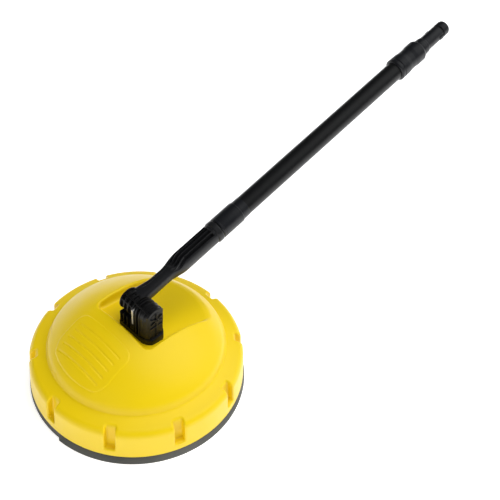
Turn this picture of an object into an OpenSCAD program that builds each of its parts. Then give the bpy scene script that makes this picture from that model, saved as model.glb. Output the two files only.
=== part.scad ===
// Patio surface cleaner: a domed hood with a brush rim, a water-driven spray rotor inside it,
// and a tilting lance with a twist-in extension. Origin on the rotor axis at floor level,
// +Z up, the lance leans towards +Y and tilts about X.

/* [Hood] */
// Radius of the hood's upper edge
hood_r = 140; // [138:1:142]
// How much wider the skirt is at its lower edge
skirt_flare = 2.6; // [1:0.2:3]
// Height of the skirt's lower edge above the floor
skirt_z = 9.7; // [9:0.1:11]
// Height of the upper edge
edge_z = 52.5; // [51:0.5:54]
// Radius where the dome rises out of the flange
dome_r = 116.7; // [115:0.1:118]
// Height of that ring
ring_z = 60.7; // [60:0.1:62]
// Radius of curvature of the dome
dome_curve = 153.5; // [152:0.5:155]
// Height of the dome's highest point, before the recess is cut
apex_z = 120.3; // [119:0.1:122]
// Wall thickness of the moulding
wall = 3; // [2.5:0.1:3.2]
// Number of notches round the edge
notch_count = 10; // [8:1:12]
// Width of a notch
notch_w = 13; // [10:0.5:14]

/* [Recess] */
// Half width of the recess for the lance joint
recess_half = 51; // [48:0.5:53]
// Front edge of the recess
recess_front = -25.5; // [-28:0.5:-24]
// Corner radius of the recess in plan
recess_corner = 10; // [6:1:12]
// Height of the recess floor on the rotor axis
floor_z = 97; // [96:0.5:98]
// Fall of the recess floor towards the back, degrees
floor_fall = 7; // [5:0.5:8]

/* [Joint] */
// Height of the tilt pivot
pivot_z = 136.5; // [136:0.5:138]
// Radius of the swivel drum
drum_r = 15; // [14:0.5:15]
// Half width of the ribbed block, front to back
block_half = 16; // [15:0.5:16]
// Radius of the hollow trunnion
trunnion_r = 8; // [7:0.5:8.5]

/* [Lance] */
// Height of the lance axis over the rotor axis
lance_z = 139.1; // [138.5:0.1:140]
// Angle of the lance above level at rest
lance_angle = 16; // [14:0.5:18]
// Outside diameter of the extension tube
tube_d = 27; // [25:0.5:27]
// Distance along the lance to the twist coupling
coupling_t = 144; // [142:1:146]
// Distance along the lance to the upper collar
collar_t = 499; // [480:1:505]
// Distance along the lance to the end of the bayonet plug
tip_t = 618; // [615:1:622]
// Diameter of the bayonet plug
plug_d = 20.3; // [20:0.1:20.6]

/* [Rotor] */
// Radius at which the nozzles run
nozzle_r = 104; // [95:1:106]
// Tilt of the nozzles that drives the rotor, degrees
nozzle_tilt = 25; // [15:1:30]
// Diameter of the rotor shaft
shaft_d = 10; // [9:0.5:10]
// Height of the rotor arms' axis
arm_z = 31; // [29:0.5:32]

/* [Hidden] */
$fn = 64;

play = 0.05;                    // radial play of a running fit
gap = 0.4;                      // gap between parts that pass each other
big = 400;                      // larger than the whole hood
skirt_r = hood_r + skirt_flare;
edge_round = 6;                 // size of the rounded upper edge
notch_floor_z = 21;
notch_low_r = hood_r - 6.5;     // back of a notch at its floor
notch_high_r = hood_r - 10.5;   // and at its open top
dome_centre_z = apex_z - dome_curve;
carrier_top = 16;
carrier_r = 128.5;              // circle of the carrier's screws
brush_out = 146.8;              // reach of the bristles on the floor
brush_in = 131;
panel_x = -4;                   // the grip panel's middle, half width, reach and height
panel_half = 49;
panel_reach = 106;
panel_rise = 0.8;
groove_count = 5;
groove_pitch = 9.15;
groove_first_y = -56.3;
groove_len = 79;

block_left = 9.9;               // side of the block that faces the drum
block_right = 38;
rib_pitch = 6.4;
rib_t = 2.2;
core_half = 12.5;
nose_x = 27;                    // centre of the block's rounded end
block_arch_z = 138.5;           // centre of the ribs' arched tops
drum_left = -14.5;
drum_right = 9.5;
clip_x = 11.4;                  // plane of the steel clip
clip_t = 1.5;
clip_w = 2.2;
clip_leg = 7.5;                 // the clip's legs pass this far from the pivot
feed_x = 33.5;                  // where the water goes down through the base
feed_z = 79;                    // and its height where it crosses to the bearing housing

arm_half = 9.3;                 // half width of the narrow arm
arm_root_t = 12;                // the arm leaves the drum here, measured along the lance
arm_end_t = 54;
body_r = 13.5;                  // the arm's wide part
body_t = 78;
coupling_ring_r = 15.15;
spigot_r = 9;

sleeve_step_t = 176;
sleeve_end_t = 192;
pipe_r = 6;
neck_t = 557;
barrel_t = 574;
seal_t = tip_t - 15.8;          // groove for the plug's seal, above the lugs
nose_r = 10.9;                  // the plug's end beyond the seal
lug_t = [594, 586.5];           // where the lugs start, right and left
lug_len = 7.6;
lug_reach = 12;

housing_r = 22;
housing_top = 88;
bearing_r = 13;
bearing_h = 8;
bearing_low_z = 46;
bearing_high_z = 62;
hub_r = 16;
hub_h = 14;

// ---- shared shapes -------------------------------------------------------

// Places what is drawn along +Z on the lance's axis: z is the distance from the pivot's plane
// and -y is the upper side.
module on_lance() {
  translate([0, 0, lance_z]) rotate([-(90 - lance_angle), 0, 0]) children();
}

module lance_tube(t0, t1, r_out, r_in) {
  translate([0, 0, t0]) difference() {
    cylinder(r = r_out, h = t1 - t0);
    if (r_in > 0) translate([0, 0, -1]) cylinder(r = r_in, h = t1 - t0 + 2);
  }
}

// A cylinder along +X from x0 to x1 at the height of the tilt pivot.
module pivot_cylinder(r, x0, x1) {
  translate([x0, 0, pivot_z]) rotate([0, 90, 0]) cylinder(r = r, h = x1 - x0);
}

module ring(r_out, r_in, z0, z1) {
  translate([0, 0, z0]) difference() {
    cylinder(r = r_out, h = z1 - z0);
    translate([0, 0, -1]) cylinder(r = r_in, h = z1 - z0 + 2);
  }
}

module pan_screw(shank_r, shank_l, head_r, head_h) {
  cylinder(r = shank_r, h = shank_l);
  translate([0, 0, -head_h]) difference() {
    cylinder(r = head_r, h = head_h);
    translate([0, 0, -1]) cylinder(r = head_r * 0.45, h = head_h * 0.6 + 1, $fn = 6);
  }
}

// ---- hood ----------------------------------------------------------------

// The rim, flange and dome as a solid, drawn in by t all round.
module hood_body(t) {
  rotate_extrude($fn = 128) polygon([
    [0, skirt_z - t], [skirt_r - t, skirt_z - t], [hood_r + 0.4 - t, edge_z - edge_round],
    [hood_r - 0.6 - t, edge_z - 2.6], [hood_r - 2.6 - t, edge_z - 0.3 - t * 0.5],
    [hood_r - 6 - t * 0.5, edge_z + 1.9 - t], [dome_r - t, ring_z - t], [0, ring_z - t]
  ]);
  intersection() {
    translate([0, 0, dome_centre_z]) sphere(r = dome_curve - t, $fn = 128);
    translate([0, 0, ring_z - t - 4]) cylinder(r = dome_r - t, h = big, $fn = 128);
  }
}

// The space cut for the joint: straight sides, a rounded front and a floor that falls to the back.
module recess_space(t) {
  intersection() {
    linear_extrude(height = big) {
      translate([-recess_half - t, recess_front + recess_corner])
        square([2 * (recess_half + t), big]);
      translate([-recess_half + recess_corner, recess_front - t])
        square([2 * (recess_half - recess_corner), big]);
      for (s = [-1, 1])
        translate([s * (recess_half - recess_corner), recess_front + recess_corner])
          circle(r = recess_corner + t);
    }
    translate([0, 0, floor_z - t]) rotate([-floor_fall, 0, 0])
      translate([-big / 2, -big / 2, 0]) cube(big);
  }
}

module notch(t) {
  rotate([90, 0, 0]) translate([0, 0, -notch_w / 2 - t])
    linear_extrude(height = notch_w + 2 * t) polygon([
      [notch_low_r - t, notch_floor_z - t], [big, notch_floor_z - t],
      [big, edge_z + 20], [notch_high_r - 1.5 - t, edge_z + 20]
    ]);
}

module notches(t) {
  for (k = [0 : notch_count - 1]) rotate([0, 0, 90 + k * 360 / notch_count]) notch(t);
}

// The grip panel on the front of the dome: a slightly raised field with straight grooves.
module panel_plan() {
  intersection() {
    circle(r = panel_reach, $fn = 128);
    union() {
      translate([panel_x - panel_half, -panel_reach]) square([2 * panel_half, panel_reach - 52.5]);
      translate([panel_x - panel_half + 10, -panel_reach])
        square([2 * panel_half - 20, panel_reach - 42.5]);
      for (s = [-1, 1]) translate([panel_x + s * (panel_half - 10), -52.5]) circle(r = 10);
    }
  }
}

module dome_skin(t0, t1) {
  translate([0, 0, dome_centre_z]) difference() {
    sphere(r = dome_curve + t1, $fn = 128);
    sphere(r = dome_curve + t0, $fn = 128);
  }
}

module panel_field() {
  intersection() {
    dome_skin(-1, panel_rise);
    linear_extrude(height = big) panel_plan();
  }
}

module panel_grooves() {
  intersection() {
    dome_skin(panel_rise - 1.1, 5);
    for (i = [0 : groove_count - 1])
      translate([panel_x - groove_len / 2, groove_first_y - i * groove_pitch - 0.9, 0])
        cube([groove_len, 1.8, big]);
  }
}

base_screw_places = [[-9, -10.5], [-9, 10.5], [25, -10.5], [25, 10.5]];
housing_screw_places = [for (a = [45, 135, 225, 315]) [27 * cos(a), 27 * sin(a)]];
boss_low = 89;

// A screw boss from its lower face up into the sloping recess floor.
module floor_boss(p, r) {
  translate([p[0], p[1], boss_low])
    cylinder(r = r, h = floor_z - p[1] * tan(floor_fall) - wall / 2 - boss_low);
}

module hood_shell() {
  color("gold") difference() {
    union() {
      difference() {
        union() {
          hood_body(0);
          panel_field();
        }
        difference() {
          hood_body(wall);
          recess_space(wall);
          notches(wall);
        }
        recess_space(0);
        notches(0);
        panel_grooves();
        ring(skirt_r + 5, 0.1, -1, skirt_z);
      }
      for (p = base_screw_places) floor_boss(p, 5.5);
      for (p = housing_screw_places) floor_boss(p, 5);
      for (k = [0 : notch_count - 1]) rotate([0, 0, 108 + k * 360 / notch_count])
        translate([carrier_r, 0, carrier_top]) cylinder(r = 4, h = 24);
      for (k = [0 : notch_count - 1]) rotate([0, 0, 108 + k * 360 / notch_count])
        translate([carrier_r, -1.5, carrier_top + 6]) cube([hood_r - carrier_r - 1, 3, 18]);
    }
    for (p = base_screw_places)
      translate([p[0], p[1], boss_low - 1]) cylinder(r = 2.5, h = 30);
    for (p = housing_screw_places)
      translate([p[0], p[1], boss_low - 1]) cylinder(r = 2, h = 7);
    translate([0, 0, 80]) cylinder(r = 12 + gap, h = 30);
    translate([feed_x, 0, 80]) cylinder(r = 6 + gap, h = 30);
    for (k = [0 : notch_count - 1]) rotate([0, 0, 108 + k * 360 / notch_count])
      translate([carrier_r, 0, carrier_top - 1]) cylinder(r = 1.75, h = 15);
  }
}

module brush_carrier() {
  color([0.12, 0.12, 0.13]) difference() {
    rotate_extrude($fn = 128) polygon([
      [124, 13.2], [130, 13.2], [130, 11], [133, 11], [133, 14], [137, 14], [137, 11],
      [hood_r - 1.2, 11], [hood_r - 1.2, carrier_top], [124, carrier_top]
    ]);
    for (k = [0 : notch_count - 1]) rotate([0, 0, 108 + k * 360 / notch_count])
      translate([carrier_r, 0, 5]) {
        cylinder(r = 2, h = 20);
        cylinder(r = 3.7, h = 7.8);
      }
  }
}

// The bristles as one closed ring, tufted into the carrier and splayed on the floor.
module bristle_ring() {
  color([0.2, 0.2, 0.2]) rotate_extrude($fn = 128) polygon([
    [133, 14], [133, 10.5], [brush_in, 0], [brush_out, 0], [skirt_r + 0.8, skirt_z - 0.4],
    [hood_r - 1.5, skirt_z - 0.4], [137, 10.8], [137, 14]
  ]);
}

module carrier_screws() {
  color("silver") for (k = [0 : notch_count - 1]) rotate([0, 0, 108 + k * 360 / notch_count])
    translate([carrier_r, 0, 12.8]) pan_screw(1.7, 15, 3.4, 2.2);
}

// ---- lance joint, fixed side -----------------------------------------------

// Outline of the block in plan: straight sides and a rounded end.
module block_plan(x0, half) {
  translate([x0, -half]) square([nose_x - x0, 2 * half]);
  intersection() {
    translate([nose_x, 0]) circle(r = half);
    translate([x0, -half]) square([block_right - x0 + (half - block_half) / 3, 2 * half]);
  }
}

// Everything above the recess floor.
module above_floor(t) {
  translate([0, 0, floor_z + t]) rotate([-floor_fall, 0, 0])
    translate([-big / 2, -big / 2, 0]) cube(big);
}

// A standing body with an arched top, between two planes across X.
module arch_body(x0, x1, half, z0) {
  intersection() {
    translate([0, 0, z0]) linear_extrude(height = big) block_plan(x0, half);
    translate([x0, 0, 0]) rotate([90, 0, 90]) linear_extrude(height = x1 - x0) {
      translate([0, block_arch_z]) circle(r = half);
      translate([-half, z0]) square([2 * half, block_arch_z - z0]);
    }
  }
}

module joint_base() {
  color([0.1, 0.1, 0.11]) difference() {
    union() {
      intersection() {
        above_floor(0);
        union() {
          translate([drum_left, -block_half + 0.4, 90]) cube([24, 2 * block_half - 0.8, 34]);
          translate([0, 0, 90]) linear_extrude(height = 16) block_plan(0, block_half);
        }
      }
      translate([0, 0, boss_low]) cylinder(r = 12, h = 13);
      translate([feed_x, 0, 91]) cylinder(r = 6, h = 12);
    }
    pivot_cylinder(drum_r + 0.7, drum_left - 1, drum_right + 0.6);
    for (p = base_screw_places)
      translate([p[0], p[1], boss_low]) cylinder(r = 2.5, h = 16.1);
    translate([feed_x, 0, 80]) cylinder(r = 3, h = 40);
    // slots between the ribs under the drum
    for (i = [0 : 2]) translate([drum_left + 4 + i * 6.4, -block_half - 1, 104])
      cube([3.6, 4.4, 30]);
  }
}

module joint_block() {
  color([0.1, 0.1, 0.11]) difference() {
    union() {
      arch_body(block_left, 36.5, core_half, 106.1);
      for (i = [1 : 4]) arch_body(block_left + i * rib_pitch, block_left + i * rib_pitch + rib_t,
                                  block_half, 106.1);
      arch_body(block_left, block_left + 3.6, block_half, 106.1);
      arch_body(35.8, block_right, block_half, 106.1);
      translate([0, 0, 106.1]) linear_extrude(height = 3) block_plan(block_left, block_half);
    }
    pivot_cylinder(trunnion_r, block_left - 1, feed_x + 1.2);
    translate([feed_x, 0, 100]) cylinder(r = 3, h = pivot_z - 100);
    // slot for the clip, open at the front
    translate([clip_x - clip_t / 2 - 0.1, -block_half - 1, pivot_z - clip_leg - clip_w / 2 - 0.1])
      cube([clip_t + 0.2, block_half + 12, 2 * clip_leg + clip_w + 0.2]);
    translate([clip_x - clip_t / 2 - 0.1, -block_half - 1, 118])
      cube([clip_t + 0.2, 3.5, 27]);
    // hollow end behind the cap
    translate([36.6, -9, 112]) cube([3, 18, 30]);
  }
}

// Star-ribbed plug that closes the moulded end of the block.
module block_end_cap() {
  color([0.1, 0.1, 0.11]) difference() {
    union() {
      translate([block_right, 0, 0]) rotate([90, 0, 90]) linear_extrude(height = 1) {
        translate([0, pivot_z + 2]) circle(r = 11);
        translate([-11, 108]) square([22, pivot_z - 106]);
      }
      translate([block_right + 1, 0, pivot_z + 2]) rotate([0, 90, 0]) cylinder(r = 3, h = 2.2);
      for (a = [0 : 60 : 300]) translate([block_right + 1, 0, pivot_z + 2]) rotate([a, 0, 0])
        translate([0, -0.9, 0]) cube([1.6, 1.8, 10.4]);
      translate([block_right + 1, -0.9, 109]) cube([1.6, 1.8, 20]);
    }
    translate([block_right + 2.2, 0, pivot_z + 2]) rotate([0, 90, 0]) cylinder(r = 1.4, h = 3);
  }
}

module base_screws() {
  color("silver") for (p = base_screw_places)
    translate([p[0], p[1], boss_low]) pan_screw(2.45, 16, 4.5, 2.8);
}

// Stainless fork: two legs straddle the trunnion's groove, the front bar shows outside.
module retaining_clip() {
  color("silver") translate([clip_x - clip_t / 2, 0, 0]) {
    for (s = [-1, 1]) translate([0, -block_half - 0.6, pivot_z + s * clip_leg - clip_w / 2])
      cube([clip_t, block_half + 10, clip_w]);
    translate([0, -block_half - 0.6, 119]) cube([clip_t, clip_w, pivot_z + clip_leg - 119]);
  }
}

// ---- water feed and bearing housing -----------------------------------------

module feed_pipe() {
  color("darkgoldenrod") difference() {
    union() {
      translate([feed_x, 0, feed_z]) cylinder(r = 5, h = 12);
      translate([housing_r, 0, feed_z]) rotate([0, 90, 0])
        cylinder(r = 5, h = feed_x - housing_r);
      translate([feed_x, 0, feed_z]) sphere(r = 5);
    }
    translate([feed_x, 0, feed_z]) cylinder(r = 3, h = 20);
    translate([housing_r - 1, 0, feed_z]) rotate([0, 90, 0])
      cylinder(r = 3, h = feed_x - housing_r + 1);
  }
}

module bearing_housing() {
  color("silver") difference() {
    union() {
      ring(housing_r, 0.01, 42, housing_top);
      difference() {
        ring(32.5, 0.01, housing_top - 5, housing_top);
        for (p = base_screw_places)
          translate([p[0], p[1], housing_top - 6]) cylinder(r = 5.5, h = 8);
        translate([feed_x, 0, 70]) cylinder(r = 6, h = 30);
        translate([housing_r, 0, feed_z]) rotate([0, 90, 0]) cylinder(r = 5.5, h = 20);
      }
    }
    translate([0, 0, 40]) cylinder(r = bearing_r, h = bearing_high_z + bearing_h - 40);
    translate([0, 0, 60]) cylinder(r = 8, h = 23);
    translate([0, 0, feed_z]) rotate([0, 90, 0]) cylinder(r = 3, h = housing_r + 1);
    ring(bearing_r + 0.9, bearing_r - 1, 44.4, 45.8);
    for (p = housing_screw_places)
      translate([p[0], p[1], 70]) cylinder(r = 2.2, h = 30);
    for (p = base_screw_places)
      translate([p[0], p[1], housing_top - 6]) cylinder(r = 5.5, h = 8);
  }
}

module housing_screws() {
  color("silver") for (p = housing_screw_places)
    translate([p[0], p[1], housing_top - 5]) pan_screw(1.95, 11, 3.8, 2.4);
}

module shaft_seal() {
  color([0.1, 0.1, 0.1]) ring(8, shaft_d / 2 + play, 72.5, 77.5);
}

// A sealed ball bearing: two races with the balls between them.
module bearing(z0) {
  ring(bearing_r, bearing_r - 2.6, z0, z0 + bearing_h);
  ring(shaft_d / 2 + 2.6, shaft_d / 2 + play, z0, z0 + bearing_h);
  ring(bearing_r - 2.6, shaft_d / 2 + 2.6, z0 + 1, z0 + bearing_h - 1);
}

module upper_bearing() { color("silver") bearing(bearing_high_z); }
module lower_bearing() { color("silver") bearing(bearing_low_z); }

module bearing_spacer() {
  color("silver") ring(bearing_r, bearing_r - 2, bearing_low_z + bearing_h, bearing_high_z);
}

module housing_circlip() {
  color("dimgray") ring(bearing_r + 0.8, bearing_r - 2, 44.6, 45.8);
}

// ---- spray rotor --------------------------------------------------------------

module rotor_shaft() {
  color("silver") difference() {
    union() {
      translate([0, 0, 19]) cylinder(r = shaft_d / 2, h = 60);
      translate([0, 0, 38]) cylinder(r = 7, h = 7.6);
    }
    translate([0, 0, arm_z - 1]) cylinder(r = 2.2, h = 60);
    translate([-20, 0, arm_z]) rotate([0, 90, 0]) cylinder(r = 2, h = 40);
    ring(8, shaft_d / 2 - 0.6, 70.4, 71.6);
  }
}

module shaft_circlip() {
  color("dimgray") ring(6.9, shaft_d / 2 - 0.6, 70.4, 71.4);
}

module rotor_hub() {
  color([0.1, 0.1, 0.11]) difference() {
    translate([0, 0, arm_z - hub_h / 2]) cylinder(r = hub_r, h = hub_h);
    translate([0, 0, 10]) cylinder(r = shaft_d / 2, h = 40);
    translate([-20, 0, arm_z]) rotate([0, 90, 0]) cylinder(r = 4, h = 40);
  }
}

module hub_nut() {
  color("silver") difference() {
    translate([0, 0, 19.5]) cylinder(r = 8.5, h = 4.4, $fn = 6);
    translate([0, 0, 15]) cylinder(r = shaft_d / 2, h = 20);
  }
}

// One side of the rotor, drawn along +X; the other side is the same turned half round.
module arm_tube() {
  translate([shaft_d / 2 + 3, 0, arm_z]) rotate([0, 90, 0]) difference() {
    cylinder(r = 4, h = nozzle_r - shaft_d / 2 - 9);
    translate([0, 0, -1]) cylinder(r = 2.6, h = nozzle_r);
  }
}

module nozzle_frame() {
  translate([nozzle_r, 0, arm_z]) rotate([nozzle_tilt, 0, 0]) children();
}

module elbow() {
  difference() {
    union() {
      nozzle_frame() translate([0, 0, -10]) cylinder(r = 6.5, h = 17);
      translate([nozzle_r - 14, 0, arm_z]) rotate([0, 90, 0]) cylinder(r = 6, h = 14);
    }
    translate([nozzle_r - 15, 0, arm_z]) rotate([0, 90, 0]) cylinder(r = 4, h = 9);
    translate([nozzle_r - 15, 0, arm_z]) rotate([0, 90, 0]) cylinder(r = 2.6, h = 15);
    nozzle_frame() translate([0, 0, -11]) cylinder(r = 3.5, h = 7);
    nozzle_frame() translate([0, 0, -11]) cylinder(r = 2, h = 12);
  }
}

module nozzle() {
  nozzle_frame() difference() {
    union() {
      translate([0, 0, -10]) cylinder(r = 3.5, h = 6);
      translate([0, 0, -15]) cylinder(r = 5.5, h = 5, $fn = 6);
    }
    translate([0, 0, -16]) cylinder(r = 0.8, h = 20);
  }
}

module spray_arm_left() { color("silver") rotate([0, 0, 180]) arm_tube(); }
module spray_arm_right() { color("silver") arm_tube(); }
module nozzle_elbow_left() { color([0.1, 0.1, 0.11]) rotate([0, 0, 180]) elbow(); }
module nozzle_elbow_right() { color([0.1, 0.1, 0.11]) elbow(); }
module nozzle_left() { color("darkgoldenrod") rotate([0, 0, 180]) nozzle(); }
module nozzle_right() { color("darkgoldenrod") nozzle(); }

// ---- lance joint, moving side ----------------------------------------------------

module swivel_drum() {
  color([0.1, 0.1, 0.11]) difference() {
    union() {
      pivot_cylinder(12, drum_left, drum_right);
      for (i = [0 : 3]) pivot_cylinder(drum_r, drum_left + i * 7.3, drum_left + i * 7.3 + 2.1);
      for (a = [60 : 60 : 240]) translate([drum_left, 0, pivot_z]) rotate([a, 0, 0])
        translate([0, -1, 0]) cube([drum_right - drum_left, 2, drum_r - 0.8]);
    }
    pivot_cylinder(trunnion_r, -8, drum_right + 1);
    pivot_cylinder(6, drum_left - 1, -7);
    on_lance() cylinder(r = 3, h = 30);
    on_lance() translate([-arm_half, -arm_half, arm_root_t]) cube([2 * arm_half, 2 * arm_half, 20]);
  }
}

module drum_cap() {
  color([0.1, 0.1, 0.11]) union() {
    pivot_cylinder(6, drum_left - 0.5, -8);
    pivot_cylinder(8, drum_left - 1.2, drum_left);
  }
}

module trunnion() {
  color("darkgoldenrod") difference() {
    pivot_cylinder(trunnion_r - play, -8, feed_x - 5);
    pivot_cylinder(4, -5, feed_x);
    difference() {
      pivot_cylinder(trunnion_r + 1, clip_x - 1, clip_x + 1);
      pivot_cylinder(clip_leg - clip_w / 2 - 0.1, clip_x - 2, clip_x + 2);
    }
    for (x = [17, 23]) difference() {
      pivot_cylinder(trunnion_r + 1, x, x + 2.4);
      pivot_cylinder(trunnion_r - 2, x - 1, x + 4);
    }
    on_lance() cylinder(r = 3, h = 30);
  }
}

module trunnion_seals() {
  color([0.1, 0.1, 0.1]) for (x = [17, 23]) difference() {
    pivot_cylinder(trunnion_r - 0.02, x + 0.1, x + 2.3);
    pivot_cylinder(trunnion_r - 2, x - 1, x + 4);
  }
}

// One moulding: the narrow arm, a shoulder, the cored wide part, the end ring and the spigot.
module lance_arm() {
  color([0.1, 0.1, 0.11]) on_lance() difference() {
    union() {
      intersection() {
        translate([-arm_half, -arm_half, arm_root_t]) cube([2 * arm_half, 2 * arm_half, 60]);
        cylinder(r = 12, h = 90);
      }
      translate([0, 0, arm_end_t]) cylinder(r1 = arm_half, r2 = body_r, h = body_t - arm_end_t);
      translate([0, 0, body_t]) cylinder(r = body_r, h = 135 - body_t);
      translate([0, 0, 135]) cylinder(r = coupling_ring_r, h = coupling_t - 0.8 - 135);
      cylinder(r = spigot_r, h = coupling_t + 30);
    }
    // bore for the water
    translate([0, 0, -1]) cylinder(r = 3, h = 300);
    // groove for the coupling seal
    difference() {
      translate([0, 0, coupling_t + 18]) cylinder(r = spigot_r + 1, h = 3);
      translate([0, 0, coupling_t + 17]) cylinder(r = spigot_r - 1.8, h = 5);
    }
    // coring along the upper side
    for (x = [-11, -3.7, 3.7, 11]) translate([x - 2.2, -30, body_t - 8])
      cube([4.4, 30 - 6.5, 61]);
    // room for the drum
    translate([0, 0, -50]) cylinder(r = 40, h = 50 + arm_root_t);
  }
}

module coupling_seal() {
  color([0.1, 0.1, 0.1]) on_lance() lance_tube(coupling_t + 18.2, coupling_t + 20.8,
                                               spigot_r + 0.02, spigot_r - 1.8);
}

// ---- extension -----------------------------------------------------------------------

module extension_sleeve() {
  color([0.1, 0.1, 0.11]) on_lance() difference() {
    rotate_extrude() polygon([
      [spigot_r + play, coupling_t], [14.6, coupling_t], [14.95, coupling_t + 1],
      [14.95, sleeve_step_t - 1], [14.35, sleeve_step_t], [14.35, sleeve_end_t - 1],
      [13.9, sleeve_end_t], [tube_d / 2, sleeve_end_t], [tube_d / 2, sleeve_step_t + 2],
      [pipe_r, sleeve_step_t + 2], [pipe_r, coupling_t + 31], [spigot_r + play, coupling_t + 31]
    ]);
  }
}

module extension_tube() {
  color([0.1, 0.1, 0.11]) on_lance()
    lance_tube(sleeve_step_t + 2, collar_t + 26, tube_d / 2, tube_d / 2 - 2);
}

module pressure_pipe() {
  color("silver") on_lance() lance_tube(coupling_t + 31.5, barrel_t + 10, pipe_r, pipe_r - 1.5);
}

module pipe_supports() {
  color([0.2, 0.2, 0.2]) on_lance() for (t = [270, 380, 490])
    lance_tube(t, t + 8, tube_d / 2 - 2, pipe_r);
}

module upper_collar() {
  color([0.1, 0.1, 0.11]) on_lance() rotate_extrude() polygon([
    [tube_d / 2, collar_t], [15.6, collar_t], [16.6, collar_t + 2.5], [16.3, collar_t + 20],
    [15.4, collar_t + 27], [15.3, collar_t + 36], [16, collar_t + 41], [16, neck_t - 3],
    [14.5, neck_t], [plug_d / 2 + 1.5, neck_t], [plug_d / 2 + 1.5, collar_t + 30],
    [tube_d / 2, collar_t + 26]
  ]);
}

// The two locking lugs, one further up than the other, let into the barrel.
module lug_blocks(reach) {
  for (i = [0, 1]) rotate([0, 0, 180 * i]) translate([plug_d / 2 - 2, -2.8, lug_t[i]])
    cube([reach - plug_d / 2 + 2, 5.6, lug_len]);
}

module bayonet_plug() {
  color([0.1, 0.1, 0.11]) on_lance() difference() {
    rotate_extrude() polygon([
      [pipe_r, collar_t + 30], [plug_d / 2 + 1.5, collar_t + 30], [plug_d / 2 + 1.5, neck_t],
      [11.8, neck_t], [11.6, neck_t + 11], [plug_d / 2, barrel_t], [plug_d / 2, seal_t],
      [8, seal_t], [8, seal_t + 2.6], [nose_r, seal_t + 2.6], [nose_r, tip_t - 4.4],
      [nose_r - 0.9, tip_t - 1.8], [nose_r - 3, tip_t], [3, tip_t], [3, barrel_t + 10],
      [pipe_r, barrel_t + 10]
    ]);
    lug_blocks(plug_d / 2 + 3);
  }
}

module bayonet_lugs() {
  color([0.1, 0.1, 0.11]) on_lance() lug_blocks(lug_reach);
}

module plug_seal() {
  color([0.1, 0.1, 0.1]) on_lance() lance_tube(seal_t + 0.2, seal_t + 2.4, plug_d / 2 - 0.2, 8);
}

hood_shell();
brush_carrier();
bristle_ring();
carrier_screws();
joint_base();
joint_block();
block_end_cap();
base_screws();
retaining_clip();
feed_pipe();
bearing_housing();
housing_screws();
shaft_seal();
upper_bearing();
lower_bearing();
bearing_spacer();
housing_circlip();
rotor_shaft();
shaft_circlip();
rotor_hub();
hub_nut();
spray_arm_left();
spray_arm_right();
nozzle_elbow_left();
nozzle_elbow_right();
nozzle_left();
nozzle_right();
swivel_drum();
drum_cap();
trunnion();
trunnion_seals();
lance_arm();
coupling_seal();
extension_sleeve();
extension_tube();
pressure_pipe();
pipe_supports();
upper_collar();
bayonet_plug();
bayonet_lugs();
plug_seal();
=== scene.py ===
"""A patio surface cleaner: a yellow domed hood on a brush rim with a black tilting lance.

Built from the floor up: hood, brush, spray rotor, lance joint, lance and extension.
"""

import math

import bmesh
import bpy
import numpy as np
from mathutils import Matrix, Quaternion, Vector, geometry


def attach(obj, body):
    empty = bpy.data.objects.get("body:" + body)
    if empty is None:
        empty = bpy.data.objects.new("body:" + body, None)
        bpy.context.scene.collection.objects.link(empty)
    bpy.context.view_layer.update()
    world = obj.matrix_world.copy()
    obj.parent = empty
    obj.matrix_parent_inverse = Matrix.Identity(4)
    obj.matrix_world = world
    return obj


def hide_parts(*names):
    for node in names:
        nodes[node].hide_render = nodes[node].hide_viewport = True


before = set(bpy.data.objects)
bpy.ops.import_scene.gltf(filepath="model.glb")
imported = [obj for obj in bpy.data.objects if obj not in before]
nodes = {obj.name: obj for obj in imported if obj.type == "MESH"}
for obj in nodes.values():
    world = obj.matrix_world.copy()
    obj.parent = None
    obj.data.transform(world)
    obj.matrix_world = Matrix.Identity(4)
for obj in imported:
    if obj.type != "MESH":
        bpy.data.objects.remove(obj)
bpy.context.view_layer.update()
scene = bpy.context.scene

# ---- studio ---------------------------------------------------------------------------------
# A white table with soft light from all round: a wide panel overhead, a long one at the front
# right and a pale room, as small goods are lit for a catalogue.
CAMERA_LENS, CAMERA_ROLL = 62.877, math.radians(5.43)
camera_data = bpy.data.cameras.new("camera")
camera_data.sensor_width, camera_data.lens = 36, CAMERA_LENS
camera = bpy.data.objects.new("camera", camera_data)
scene.collection.objects.link(camera)
camera.location = (0.57972, -0.45636, 0.95996)
camera_aim = Vector((0.01586, 0.18849, 0.11958))
camera_way = (camera.location - camera_aim).to_track_quat("Z", "Y")
camera.rotation_mode = "QUATERNION"
camera.rotation_quaternion = camera_way @ Quaternion((0, 0, 1), CAMERA_ROLL)
scene.camera = camera
scene.view_settings.view_transform = "Standard"


def sun(name, azimuth, height, spread, strength):
    data = bpy.data.lights.new(name, "SUN")
    data.angle = math.radians(spread)
    data.energy = strength
    lamp = bpy.data.objects.new(name, data)
    scene.collection.objects.link(lamp)
    flat, turn = math.cos(math.radians(height)), math.radians(azimuth)
    way = Vector((flat * math.cos(turn), flat * math.sin(turn), math.sin(math.radians(height))))
    lamp.rotation_mode = "QUATERNION"
    lamp.rotation_quaternion = way.to_track_quat("Z", "Y")
    lamp.visible_glossy = False


sun("wide_key", 56, 64, 70, 2.22)
sun("front_fill", -75, 24, 40, 0.8)

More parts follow.
